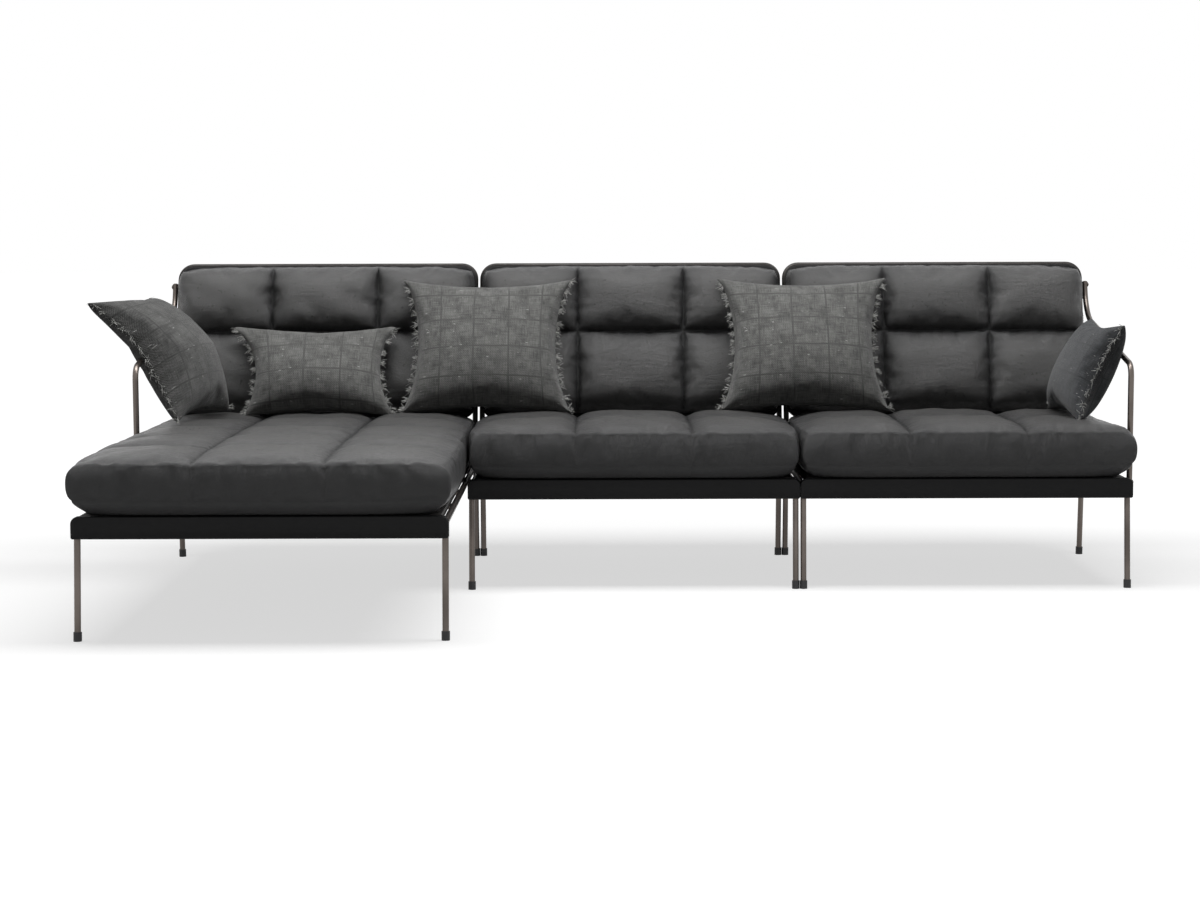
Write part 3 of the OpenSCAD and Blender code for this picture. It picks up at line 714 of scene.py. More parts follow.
@dataclass(frozen=True)
class CladBoard:
    """A board wrapped in leather: soft edges, a little padding and stitched borders."""

    name: str
    node: str
    outline: Outline
    thick: float
    place: Matrix
    edge: float = 0.0035
    padding: float = 0.0012
    stitched: tuple[float, ...] = ()
    finishes: Finishes | None = None

    def profile(self) -> list[tuple[float, float]]:
        """Gives the rings from the middle of the back to the middle of the front, as inset and depth."""
        turns = [math.radians(a) for a in (0, 22.5, 45, 67.5, 90)]
        curve = [(self.edge * (1 - math.sin(a)), self.edge * (1 - math.cos(a))) for a in turns]
        soft = [(0.030, -self.padding), (0.018, -0.8 * self.padding), (0.009, -0.35 * self.padding)]
        smallest = min(self.outline.width, self.outline.height)
        soft = [(i, d) for i, d in soft if 2 * i < smallest - 0.01]
        back = soft + curve
        return back + [(i, self.thick - d) for i, d in reversed(back)]

    def build(self) -> Piece:
        """Builds the board and its stitching, and hides the node."""
        mesh = Mesh()
        rings = []
        for inset, depth in self.profile():
            flat = self.outline.ring(inset)
            rings.append(np.column_stack([flat, np.full(len(flat), depth)]))
        n = len(rings[0])
        faces = [tuple(reversed(range(n)))]
        for k in range(len(rings) - 1):
            faces += [(k * n + i, k * n + (i + 1) % n, (k + 1) * n + (i + 1) % n, (k + 1) * n + i) for i in range(n)]
        faces.append(tuple((len(rings) - 1) * n + i for i in range(n)))
        mesh.add(np.concatenate(rings), faces)
        board = mesh.build(self.name, self.finishes.rail, place=self.place)
        store(board, "border", np.full(len(board.data.vertices), 0.3))
        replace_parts(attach(board, "sofa_frame"), self.node)
        if self.stitched:
            self.stitch()
        return board

    def stitch(self) -> None:
        """Sews a line round the back face at each stitched inset."""
        mesh = Mesh()
        for inset in self.stitched:
            flat = self.outline.ring(inset)
            flat = np.concatenate([flat, flat[:1]])
            path = np.column_stack([flat, np.full(len(flat), -0.0005)])
            Stitch(pitch=0.0085, length=0.006).run(mesh, path, np.tile((0.0, 0.0, -1.0), (len(path), 1)))
        piece = mesh.build(self.name + "_stitching", self.finishes.rail_thread, place=self.place)
        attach(piece, "sofa_frame")


def on_back(module: int) -> Matrix:
    """Gives the frame of a leaning back: across, up along the back and out to the front."""
    up = Vector((0, math.sin(RECLINE), math.cos(RECLINE)))
    out = Vector((0, -math.cos(RECLINE), math.sin(RECLINE)))
    found = Matrix.Identity(4)
    for k, axis in enumerate((Vector((1, 0, 0)), up, out)):
        found.col[k].xyz = axis
    found.translation = Vector((LEFT_EDGE + module * MODULE_PITCH, *HOOP_FOOT))
    return found


@dataclass(frozen=True)
class Rail(CladBoard):
    """A leather clad rail in front of or behind a platform."""

    upper_corner: ClassVar[float] = 0.018
    lower_corner: ClassVar[float] = 0.005

    @classmethod
    def at(cls, node: str, finishes: Finishes) -> "Rail":
        """Takes a rail's size and place from its node."""
        low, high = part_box(node)
        size = high - low
        turned = Matrix(((1, 0, 0, 0), (0, 0, 1, 0), (0, 1, 0, 0), (0, 0, 0, 1)))
        outline = Outline(size.x, size.z, cls.upper_corner, cls.lower_corner)
        return cls(node.replace("_rail", "_rail_cover"), node, outline, size.y,
                   Matrix.Translation(low) @ turned, padding=0.0008, finishes=finishes)

    def build(self) -> Piece:
        """Builds the rail; its turned frame mirrors it, so the faces are flipped back."""
        board = CladBoard.build(self)
        board.data.flip_normals()
        return board


@dataclass(frozen=True)
class BackPanel(CladBoard):
    """The leather clad board on the front of a back hoop."""

    @classmethod
    def at(cls, module: int, finishes: Finishes) -> "BackPanel":
        """Sets a panel on a module's hoop."""
        low, top, side, corner = 0.135, 0.593622, 0.0095, 0.041
        place = on_back(module) @ Matrix.Translation((side, low, 0.0083))
        outline = Outline(MODULE_PITCH - 2 * side, top - low, corner, corner)
        return cls(MODULES[module] + "_back_panel_cover", MODULES[module] + "_back_panel", outline, 0.012,
                   place, padding=0.0006, stitched=(0.009,), finishes=finishes)


@dataclass(frozen=True)
class Webbing:
    """The elastic straps of one module, drawn from side board to side board."""

    module: str
    finishes: Finishes
    sag: float = 0.0006
    held: float = 0.06
    ease: float = 0.10
    thinned: float = 0.35

    def bands(self) -> list[tuple[float, float]]:
        """Gives each strap's front and rear edge, read from the frame."""
        ys = np.unique(np.round([v.co.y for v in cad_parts[self.module + "_webbing"].data.vertices], 5))
        return [(float(a), float(b)) for a, b in zip(ys[::2], ys[1::2])]

    def build(self) -> Piece:
        """Builds the straps as one piece, each with soft edges and a little sag between the boards."""
        node = self.module + "_webbing"
        low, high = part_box(node)
        mesh, flat = Mesh(), []
        across, along = 6, 24
        thick = high.z - low.z
        for front, rear in self.bands():
            xs = np.linspace(low.x, high.x, along + 1)
            ys = np.linspace(front, rear, across + 1)
            grid = np.array([(x, y) for y in ys for x in xs])
            u = (grid[:, 0] - low.x) / (high.x - low.x)
            w = 2 * (grid[:, 1] - front) / (rear - front) - 1
            inside = np.clip((np.minimum(u, 1 - u) * (high.x - low.x) - self.held) / self.ease, 0, 1)
            dip = -self.sag * inside
            thin = thick * (1 - self.thinned * w ** 8)
            for top in (True, False):
                z = low.z + (thin if top else thick - thin) + dip
                n = along + 1
                faces = grid_faces(along, across)
                if not top:
                    faces = [f[::-1] for f in faces]
                first = mesh.add(np.column_stack([grid, z]), faces)
                flat.append(np.column_stack([grid[:, 0], grid[:, 1] - (front + rear) / 2]))
            edge = list(range(n)) + [j * n + along for j in range(1, across + 1)]
            edge += [across * n + i for i in range(along - 1, -1, -1)] + [j * n for j in range(across - 1, 0, -1)]
            upper = first - len(grid)
            mesh.faces += [(first + edge[k], first + edge[(k + 1) % len(edge)],
                            upper + edge[(k + 1) % len(edge)], upper + edge[k]) for k in range(len(edge))]
        straps = mesh.build(node + "_straps", self.finishes.webbing)
        store_map(straps, np.concatenate(flat))
        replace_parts(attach(straps, "sofa_frame"), node)
        return straps


# ---------------------------------------------------------------- quilted cushions


@dataclass(frozen=True)
class Quilt:
    """The grid of a cushion's top: its lines, the places of its seams, and what each point is."""

    xs: np.ndarray
    ys: np.ndarray
    across: list[float]
    along: list[float]
    u: np.ndarray
    v: np.ndarray
    off: np.ndarray
    pull: np.ndarray
    rounding: np.ndarray
    puffs: np.ndarray

    @property
    def rim(self) -> list[tuple[int, int]]:
        """Gives the row and column of each point round the rim, in turn."""
        ny, nx = self.u.shape
        found = [(0, i) for i in range(nx - 1)] + [(j, nx - 1) for j in range(ny - 1)]
        return found + [(ny - 1, i) for i in range(nx - 1, 0, -1)] + [(j, 0) for j in range(ny - 1, 0, -1)]


@dataclass
class QuiltedPad:
    """A leather cushion: quilted top, boxed sides and a flat base.

    Its own axes run across, along (to the rear, or up the back) and out of the base.
    """

    name: str
    node: str
    body: str
    place: Matrix
    finishes: Finishes
    width: float
    length: float
    edge: float
    rows: int
    row_share: float = 0.5
    column_seams: tuple[float, ...] = (0.324, 0.676)
    crown: float = 0.012
    rise: float = 0.018
    fall: float = 0.0
    rim_level: float = 0.985
    rim_in: float = 0.004
    round_over: float = 0.024
    foot_in: float = 0.028
    round_low: float = 0.024
    corner: float = 0.006
    corner_grow: float = 1.2
    corner_drop: float = 0.006
    pitch: float = 0.0125
    dip: float = 0.005
    tuck: float = 0.006
    sag: float = 1.0
    rim_rise: float = 2.4
    valley: float = 3.4
    fullness: float = 0.55
    pucker: float = 0.0012
    uneven: float = 0.0012
    pull_width: float = 0.018
    dip_width: float = 0.006
    # The width of the painted shade along the seams.
    dark_width: float = 0.0058
    worn_width: float = 0.020
    pucker_reach: float = 0.028
    side_room: float = 0.0024
    front_room: float = 0.008
    rear_room: float = 0.0015
    swell_width: float = 0.030
    seed: int = 1
    blow: Inflation = field(default_factory=lambda: Inflation(cap=0.008))
    fill: float = 0.8
    levels: tuple[tuple[float, float, float], ...] = (
        (0.955, 0.0030, 0.3), (0.90, 0.0008, 0.0), (0.78, 0.0, 0.0), (0.64, 0.0, 0.0), (0.50, 0.0, 0.0),
        (0.38, 0.0005, 0.0), (0.30, 0.0025, 0.2), (0.265, 0.0060, 0.8), (0.23, 0.0050, 0.5),
        (0.13, 0.011, 0.4), (0.04, 0.020, 1.0), (0.0, 0.028, 1.0))

    def row_seams(self) -> list[float]:
        """Gives the places of the seams between the rows."""
        inner = self.length - 2 * self.foot_in
        shares = [self.row_share] if self.rows == 2 else [k / self.rows for k in range(1, self.rows)]
        return [self.foot_in + inner * share for share in shares]

    def lines(self, length: float, seams: Sequence[float]) -> np.ndarray:
        """Gives the grid lines along a side, close together at the rim and beside the seams."""
        rim = [self.rim_in + d for d in (0.0, 0.005, 0.012, 0.021)]
        marks = rim + [length - m for m in rim]
        for seam in seams:
            marks += [seam + d for d in (-0.010, -0.0035, 0.0, 0.0035, 0.010)]
        marks.sort()
        found = [marks[0]]
        for a, b in zip(marks, marks[1:]):
            n = max(1, round((b - a) / self.pitch))
            found += [a + (b - a) * k / n for k in range(1, n + 1)]
        return np.array(found)

    def puffed(self, x: np.ndarray, length: float, seams: Sequence[float], sag: float = 1.0,
               steep: float = 2.5) -> np.ndarray:
        """Gives the rise of the puffs along a side, from 0 at a seam or rim to 1 at a crest.

        Args:
            x: the places along the side.
            length: the side's length.
            seams: the inner seams' places.
            sag: below 1, the crests lie nearer to the side's start.
            steep: how narrow the valleys beside the seams are.

        Returns:
            The rise at each place.
        """
        edges = [self.rim_in, *seams, length - self.rim_in]
        found = np.zeros_like(x)
        for k, (a, b) in enumerate(zip(edges, edges[1:])):
            inside = (x >= a - 1e-9) & (x <= b + 1e-9)
            t = np.clip((x[inside] - a) / (b - a), 0, 1) ** sag
            near = np.minimum(t, 1 - t) * 2
            at_rim = ((k == 0) & (t < 0.5)) | ((k == len(edges) - 2) & (t >= 0.5))
            found[inside] = 1 - (1 - near) ** np.where(at_rim, self.rim_rise, steep)
        return found

    def plan(self, inset: float, u: np.ndarray, v: np.ndarray, share: float = 1.0) -> np.ndarray:
        """Gives points of the plan at an inset, with corners that are rounder near the top and the base.

        Args:
            inset: how far the outline is drawn in.
            u: the points' shares across, from 0 to 1.
            v: their shares along.
            share: their height as a share of the edge's.

        Returns:
            The points, as pairs across and along.
        """
        a, b = 2 * u - 1, 2 * v - 1
        k = self.corner * (1 + self.corner_grow * abs(2 * share - 1) ** 3) * np.abs(a * b) ** 7
        return np.stack([self.width / 2 + (self.width / 2 - inset) * a - np.sign(a) * k,
                         self.length / 2 + (self.length / 2 - inset) * b - np.sign(b) * k], -1)

    def sewn(self) -> Quilt:
        """Lays out the grid of the top, with its seams, puffs and rounding."""
        across = [self.width * share for share in self.column_seams]
        along = self.row_seams()
        xs, ys = self.lines(self.width, across), self.lines(self.length, along)
        x, y = np.meshgrid(xs, ys)

        def over(d: np.ndarray, reach: float) -> np.ndarray:
            """Gives the rounding from the boxing seam onto the top."""
            return np.sqrt(1 - (1 - np.clip(d / reach, 0, 1)) ** 2)

        rounding = over(np.minimum(x, self.width - x) - self.rim_in, self.round_over)
        rounding *= over(y - self.rim_in, self.round_low) * over(self.length - self.rim_in - y, self.round_over)
        puffs = self.puffed(xs, self.width, across, steep=self.valley)[None, :]
        puffs = puffs * self.puffed(ys, self.length, along, self.sag)[:, None]
        off_x = np.min([np.abs(x - s) for s in across], 0)
        off_y = np.min([np.abs(y - s) for s in along], 0)
        pull = np.exp(-(off_x / self.pull_width) ** 2) + np.exp(-(off_y / self.pull_width) ** 2)
        return Quilt(xs, ys, across, along, (x - self.rim_in) / (self.width - 2 * self.rim_in),
                     (y - self.rim_in) / (self.length - 2 * self.rim_in), np.minimum(off_x, off_y), pull,
                     rounding, puffs)

    def top(self, q: Quilt) -> np.ndarray:
        """Gives the points of the crowned and quilted top."""
        u, v = q.u, q.v
        dome = (1 - (2 * u - 1) ** 4) * (1 - (2 * v - 1) ** 4)
        fallen = self.edge - self.fall * v
        z = fallen * (self.rim_level + (1 - self.rim_level) * q.rounding) + self.crown * dome
        z += self.fullness * self.rise * q.puffs - self.dip * np.exp(-(q.off / self.dip_width) ** 2) * q.rounding
        z -= self.tuck * q.pull * (1 - q.rounding)
        z -= self.corner_drop * np.abs((2 * u - 1) * (2 * v - 1)) ** 10
        return np.concatenate([self.plan(self.rim_in, u, v), z[..., None]], -1)

    def shell(self, q: Quilt) -> Mesh:
        """Closes the top with the boxed sides and the flat base."""
        ny, nx = q.u.shape
        rim = q.rim
        rim_u, rim_v, pull = (np.array([w[r] for r in rim]) for w in (q.u, q.v, q.pull))
        dropped = self.corner_drop * np.abs((2 * rim_u - 1) * (2 * rim_v - 1)) ** 10
        mesh = Mesh()
        mesh.add(self.top(q), grid_faces(nx - 1, ny - 1))
        above = [j * nx + i for j, i in rim]
        n = len(rim)
        for share, inset, _ in self.levels:
            flat = self.plan(inset, rim_u, rim_v, share)
            height = share * (self.edge - self.fall * rim_v) - pull * self.tuck * max(0.0, share - 0.5) * 2
            height -= dropped * (2 * share - 1) * (share > 0)
            first = mesh.add(np.column_stack([flat, height]), [])
            below = [first + k for k in range(n)]
            mesh.faces += [(above[k], below[k], below[(k + 1) % n], above[(k + 1) % n]) for k in range(n)]
            above = below
        base = self.plan(self.foot_in, q.u[1:-1, 1:-1], q.v[1:-1, 1:-1])
        first = mesh.add(np.concatenate([base, np.zeros((*base.shape[:2], 1))], -1), [])
        at = {r: above[k] for k, r in enumerate(rim)}
        at |= {(j, i): first + (j - 1) * (nx - 2) + i - 1 for j in range(1, ny - 1) for i in range(1, nx - 1)}
        mesh.faces += [(at[j, i], at[j + 1, i], at[j + 1, i + 1], at[j, i + 1])
                       for j in range(ny - 1) for i in range(nx - 1)]
        return mesh

    def holds(self, q: Quilt, count: int) -> np.ndarray:
        """Gives how firmly the seams, the sides and the base hold each point of the cover."""
        found = np.ones(count)
        seam = (q.off < 1e-6) | (q.rounding < 1e-6)
        on_top, n = q.u.size, len(q.rim)
        found[:on_top] = np.where(seam, 1.0, np.where(q.off < 0.004, 0.25, 0.0)).ravel()
        for k, level in enumerate(self.levels):
            found[on_top + n * k: on_top + n * (k + 1)] = level[2]
        return found

    def marks(self, q: Quilt, count: int) -> dict[str, np.ndarray]:
        """Gives what the leather asks of each point: how much of a seam, a crest and a border it is."""
        # The seam and border marks carry painted shade into the leather's colour, and the crest mark a painted
        # highlight along with wear.
        border = np.maximum(1 - q.rounding, 0.5 * np.exp(-(q.off / self.worn_width) ** 2))
        found = {"seam": (np.exp(-(q.off / self.dark_width) ** 2), 0.0), "crest": (q.puffs * q.rounding, 0.0),
                 "border": (border, 1.0)}
        return {name: np.concatenate([on_top.ravel(), np.full(count - on_top.size, elsewhere)])
                for name, (on_top, elsewhere) in found.items()}

    def build(self) -> Piece:
        """Builds, inflates and dresses the cushion, and hides its node."""
        q = self.sewn()
        mesh = self.shell(q)
        pad = mesh.build(self.name, self.finishes.cushion)
        self.blow.run(pad, self.holds(q, mesh.count))
        for name, values in self.marks(q, mesh.count).items():
            store(pad, name, values)
        subdivided(pad)
        set_coordinates(pad, self.bounded(self.worked(coordinates(pad), point_normals(pad), q)))
        pad.data.transform(self.place)
        pad.data.update()
        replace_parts(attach(pad, self.body), self.node)
        self.stitch(pad, q)
        return pad

    def worked(self, points: np.ndarray, normals: np.ndarray, q: Quilt) -> np.ndarray:
        """Puckers the cover beside its seams and makes it a little uneven.

        Args:
            points: the cover's points.
            normals: the normals there.
            q: the grid of its top.

        Returns:
            The moved points.
        """
        rng = np.random.default_rng(self.seed)
        x, y, z = points.T
        below = np.clip(self.rim_level * (self.edge - self.fall * y / self.length) - z, 0, None)

        def ripple(way: np.ndarray, off: np.ndarray) -> np.ndarray:
            """Gives puckers that run away from a seam and die out."""
            waves = sum(np.sin(2 * np.pi * (way / rng.uniform(0.022, 0.058) + rng.random())) for _ in range(4))
            return waves / 2 * np.exp(-off / self.pucker_reach) * (1 - np.exp(-off / 0.005))

        depth = np.zeros(len(points))
        for seam in q.across:
            depth += ripple(y, np.hypot(x - seam, below * 1.5))
        for seam in q.along:
            depth += ripple(x, np.hypot(y - seam, below * 1.5))
        for way, off in ((y, x), (y, self.width - x), (x, y), (x, self.length - y)):
            depth += ripple(way, np.hypot(np.clip(off - self.rim_in, 0, None), below))
        broad = np.zeros(len(points))
        for _ in range(7):
            aim = rng.normal(size=3)
            aim *= 2 * np.pi / rng.uniform(0.07, 0.19) / np.linalg.norm(aim)
            broad += np.sin(points @ aim + rng.uniform(0, 2 * np.pi)) / 2
        free = np.clip(z / 0.03 - 0.2, 0, 1)
        return points + normals * (free * (self.pucker * depth + self.uneven * broad))[:, None]

    def room(self, points: np.ndarray) -> np.ndarray:
        """Gives how far each point may stand out past the left and the right side."""
        return np.full((2, len(points)), self.side_room)

    def bounded(self, points: np.ndarray) -> np.ndarray:
        """Rounds out the sides that have room, and keeps the others clear of their neighbours."""
        x, y, z = points.T.copy()
        left, right = self.room(points)
        round_out = np.clip(1 - (2 * z / self.edge - 1.05) ** 4, 0, 1)
        x -= (left - self.side_room) * round_out * np.exp(-x.clip(0) / self.swell_width)
        x += (right - self.side_room) * round_out * np.exp(-(self.width - x).clip(0) / self.swell_width)
        x = np.where(x < 0, -left * np.tanh(-x / left), x)
        over = x - self.width
        x = np.where(over > 0, self.width + right * np.tanh(over / right), x)
        over = y - self.length
        y = np.where(over > 0, self.length + self.rear_room * np.tanh(over / self.rear_room), y)
        y = np.where(y < 0, -self.front_room * np.tanh(-y / self.front_room), y)
        return np.stack([x, y, np.maximum(z, 0.0)], 1)

    def stitch(self, pad: Piece, q: Quilt) -> None:
        """Sews beside each seam of the quilt and round the boxing seam."""
        points, normals = coordinates(pad), point_normals(pad)
        ny, nx = q.u.shape
        mesh, stitch = Mesh(), Stitch()
        runs = []
        for seam in q.across:
            i = int(np.argmin(abs(q.xs - seam)))
            runs += [[j * nx + i + side for j in range(3, ny - 3)] for side in (-1, 1)]
        for seam in q.along:
            j = int(np.argmin(abs(q.ys - seam)))
            runs += [[(j + side) * nx + i for i in range(3, nx - 3)] for side in (-1, 1)]
        below = [nx * ny + k for k in range(len(q.rim))]
        runs.append(below + below[:1])
        for run in runs:
            stitch.run(mesh, points[run], normals[run])
        piece = mesh.build(self.name + "_stitching", self.finishes.thread)
        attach(piece, self.body)


@dataclass
class SeatCushion(QuiltedPad):
    """A loose seat cushion on the webbing."""

    swell: float = 0.014
    clear: float = 0.012
    ease: float = 0.050

    @classmethod
    def at(cls, module: str, finishes: Finishes) -> "SeatCushion":
        """Takes a seat's size and place from its node."""
        low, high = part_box(module + "_seat_cushion")
        rows = 5 if module == "chaise" else 2
        return cls(module + "_seat", module + "_seat_cushion", module + "_seat", Matrix.Translation(low), finishes,
                   high.x - low.x, high.y - low.y, 0.126, rows, fall=0.007, seed=11 + MODULES.index(module))

    def room(self, points: np.ndarray) -> np.ndarray:
        """Gives more room to the sides that are free, in front of the arm posts and the next seat's travel."""
        found = super().room(points)
        y = points[:, 1] + self.place.translation.y
        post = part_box("right_arm")[0].y
        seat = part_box("middle_seat_cushion")[0].y - SEAT_TRAVEL
        for side, node, front in ((0, "chaise", post), (1, "chaise", seat), (1, "right", post)):
            if self.name.startswith(node):
                found[side] += self.swell * np.clip((front - self.clear - y) / self.ease, 0, 1)
        return found


@dataclass
class BackCushion(QuiltedPad):
    """A quilted cushion on a back panel."""

    @classmethod
    def at(cls, module: int, finishes: Finishes) -> "BackCushion":
        """Sets a back cushion on a module's panel."""
        side, low, top = 0.0085, 0.146, 0.5885
        place = on_back(module) @ Matrix.Translation((side, low, 0.0206))
        return cls(MODULES[module] + "_back", MODULES[module] + "_back_cushion", "sofa_frame", place, finishes,
                   MODULE_PITCH - 2 * side, top - low, 0.052, 2, row_share=0.55, crown=0.010, rise=0.031,
                   rim_level=0.5, rim_in=0.004, round_over=0.026, round_low=0.060, corner=0.012, corner_grow=0.0,
                   corner_drop=0.0, dip=0.009, tuck=0.002, sag=0.72, rim_rise=4.0, valley=5.0, fullness=1.0,
                   seed=21 + module, blow=Inflation(cap=0.013), fill=0.75,
                   levels=((0.36, 0.002, 0.12), (0.24, 0.0, 0.0), (0.12, 0.004, 0.2), (0.03, 0.013, 1.0),
                           (0.0, 0.028, 1.0)))


# ---------------------------------------------------------------- throw pillows


@dataclass
class ThrowPillow:
    """A woven pillow with frayed ends, leant back from upright and turned about the vertical."""

    node: str
    size: tuple[float, float, float]
    lean: float
    turn: float
    finishes: Finishes
    seed: int
    under: float = 1.0
    plump: float = 1.3
    firm: float = 0.45
    swell: float = 0.66
    belly: float = 0.36
    slump: float = 0.0
    reach: float = 0.0
    cloth: Cloth = Cloth.GREY
    cells: tuple[int, int] = (46, 38)
    draw_side: float = 0.15
    draw_end: float = 0.05
    fringe: tuple[float, float] = (0.005, 0.013)
    fringe_pitch: float = 0.0024
    fringe_thick: float = 0.0009
    tuft: tuple[float, float] = (0.012, 0.027)
    tuft_pitch: tuple[float, float] = (0.026, 0.042)
    tuft_count: tuple[int, int] = (12, 20)
    tuft_thick: float = 0.0024
    sewn_in: float = 0.002
    splay: tuple[float, float] = (0.45, 0.30)
    curl: tuple[float, float] = (0.35, 0.25)
    droop: float = 0.45
    blow: Inflation = field(default_factory=lambda: Inflation(
        pressure=5.0, frames=20, slack=0.035, tension=20, bending=0.25, cap=0.014))

    @property
    def body(self) -> str:
        """Gives the body that the pillow moves with."""
        return self.node + "_body"

    def form(self, s: np.ndarray, t: np.ndarray, face: int) -> np.ndarray:
        """Gives points of the filled form, for shares from -1 to 1 across and up."""
        w, h, d = self.size
        full = ((1 - s ** 2) * (1 - t ** 2)).clip(0) ** self.firm
        return np.stack([w / 2 * s * (1 - self.draw_side * s ** 2 * (1 - t ** 2)),
                         h / 2 * t * (1 - self.draw_end * t ** 2 * (1 - s ** 2)),
                         face * d / 2 * full * (1 if face > 0 else self.under)], -1)

    def front(self, s: np.ndarray, t: np.ndarray) -> np.ndarray:
        """Gives the points of the upper face, whose filling has sunk towards the foot."""
        points = self.form(s, t, 1)
        sunk = t + self.belly * (1 - t ** 2)
        full = ((1 - s ** 2) * (1 - sunk ** 2)).clip(0) ** self.swell
        points[..., 2] = self.size[2] / 2 * self.plump * full
        return points

    def stance(self) -> Matrix:
        """Gives the pillow's turn, and the place at which its box meets its node's."""
        lean, turn = math.radians(self.lean), math.radians(self.turn)
        leant = Matrix(((1, 0, 0), (0, math.sin(lean), -math.cos(lean)), (0, math.cos(lean), math.sin(lean))))
        turned = (Matrix.Rotation(turn, 3, "Z") @ leant).to_4x4()
        line = np.linspace(-1, 1, 11)
        s, t = np.meshgrid(line, line)
        points = np.concatenate([self.form(s, t, f).reshape(-1, 3) for f in (1, -1)])
        world = points @ np.array(turned.to_3x3()).T
        low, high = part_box(self.node)
        middle = (np.array(low) + np.array(high)) / 2 - (world.min(0) + world.max(0)) / 2
        return Matrix.Translation(middle) @ turned

    def build(self) -> Piece:
        """Builds, inflates and dresses the pillow, and hides its node."""
        nx, ny = self.cells
        even = [np.linspace(-1, 1, n + 1) for n in (nx, ny)]
        grid = [np.sin(w * math.pi / 2) * 0.45 + w * 0.55 for w in even]
        s, t = np.meshgrid(*grid)
        mesh, n = Mesh(), nx + 1
        quads = grid_faces(nx, ny)
        mesh.add(self.front(s, t), quads)
        inner = self.form(s, t, -1)[1:-1, 1:-1]
        first = mesh.add(inner, [])
        at = np.arange((ny + 1) * n).reshape(ny + 1, n)
        at[1:-1, 1:-1] = first + np.arange((ny - 1) * (nx - 1)).reshape(ny - 1, nx - 1)
        flat_at = at.ravel()
        mesh.faces += [tuple(int(flat_at[k]) for k in reversed(q)) for q in quads]
        flat = np.stack([s * self.size[0] / 2, t * self.size[1] / 2], -1)
        under = flat[1:-1, 1:-1] * (-1, 1) + (self.size[0] * 1.5, 0.013 * self.seed)
        pillow = mesh.build(self.node + "_cover", getattr(self.finishes, self.cloth.value))
        store_map(pillow, np.concatenate([flat.reshape(-1, 2), under.reshape(-1, 2)]))
        pins = np.zeros(mesh.count)
        rim = (np.abs(s) > 0.999) | (np.abs(t) > 0.999)
        corner = (np.abs(s) > 0.999) & (np.abs(t) > 0.999)
        pins[: rim.size] = np.where(corner, 1.0, np.where(rim, 0.06, 0.0)).ravel()
        self.blow.run(pillow, pins)
        subdivided(pillow)
        pillow.data.transform(self.stance())
        pillow.data.update()
        self.settle(pillow)
        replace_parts(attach(pillow, self.body), self.node)
        side = [[j * n + i for j in range(ny + 1)] for i in (0, nx)]
        self.fray(pillow, side)
        return pillow

    def settle(self, pillow: Piece) -> None:
        """Lets the lower part slump aside, and the upper left corner reach out, both by their set lengths."""
        points = coordinates(pillow)
        low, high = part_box(self.node)
        part = (points - np.array(low)) / (np.array(high) - np.array(low))
        foot = np.clip(1 - part[:, 2] / 0.62, 0, 1)
        points[:, 0] -= self.slump * foot * (2 - foot)
        points[:, 0] -= self.reach * np.clip(1 - part[:, 0] * 1.6, 0, 1) ** 1.5 * np.clip(part[:, 2], 0, 1) ** 1.5
        set_coordinates(pillow, points)

    def fray(self, pillow: Piece, sides: list[list[int]]) -> None:
        """Adds the frayed yarns along both ends: a short dense fringe, and paler tufts."""
        rng = np.random.default_rng(self.seed)
        points = coordinates(pillow)
        outward = np.array(self.stance().to_3x3()) @ np.array((1.0, 0.0, 0.0))
        face = np.array(self.stance().to_3x3()) @ np.array((0.0, 0.0, 1.0))
        short, tufts = Mesh(), Mesh()
        for sign, side in zip((-1, 1), sides):
            path = points[side]
            places, ways, _ = spaced(path, self.fringe_pitch, 0.002)
            for place, way in zip(places, ways):
                place = place - sign * outward * self.sewn_in
                self.strand(short, rng, place, sign * outward, way, face, rng.uniform(*self.fringe),
                            self.fringe_thick)
            far = 0.012
            total = np.linalg.norm(np.diff(path, axis=0), axis=1).sum()
            while far < total - 0.008:
                place, way, _ = (w[0] for w in spaced(path, 1.0, far))
                for _ in range(rng.integers(*self.tuft_count)):
                    root = place - sign * outward * 0.004 + way * rng.normal(0, 0.0040) + face * 0.002
                    self.strand(tufts, rng, root, sign * outward * 0.8 + face * 0.45, way, face,
                                rng.uniform(*self.tuft), self.tuft_thick)
                far += rng.uniform(*self.tuft_pitch)
        for mesh, ending, material in ((short, "_fringe", self.finishes.yarn),
                                       (tufts, "_tufts", self.finishes.pale_yarn)):
            piece = mesh.build(self.node + ending, material)
            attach(piece, self.body)

    def strand(self, mesh: Mesh, rng: np.random.Generator, root: np.ndarray, out: np.ndarray, way: np.ndarray,
               face: np.ndarray, length: float, thick: float) -> None:
        """Adds one yarn end: a thin bent tube that droops and tapers.

        Args:
            mesh: what the yarn is added to.
            rng: the pillow's own random numbers.
            root: where the yarn leaves the cloth.
            out: the direction away from the pillow's end.
            way: the direction along that end.
            face: the direction the pillow faces.
            length: the yarn's length.
            thick: its diameter.
        """
        aim = out + way * rng.normal(0, self.splay[0]) + face * rng.normal(0, self.splay[1])
        aim /= np.linalg.norm(aim)
        curl = way * rng.normal(0, self.curl[0]) + face * rng.normal(0, self.curl[1])
        curl += np.array((0, 0, -self.droop))
        rings = []
        for k, share in enumerate((0.0, 0.35, 0.7, 1.0)):
            middle = root + length * (aim * share + curl * share ** 2 * 0.5)
            r = thick / 2 * (1 - 0.45 * share)
            rings.append([middle + r * (math.cos(a) * way + math.sin(a) * face)
                          for a in (0, 2 * math.pi / 3, 4 * math.pi / 3)])
        faces = [(3 * k + i, 3 * k + (i + 1) % 3, 3 * k + 3 + (i + 1) % 3, 3 * k + 3 + i)
                 for k in range(3) for i in range(3)]
        faces += [(0, 2, 1), (9, 10, 11)]
        mesh.add(np.array(rings).reshape(-1, 3), faces)


# ---------------------------------------------------------------- studio


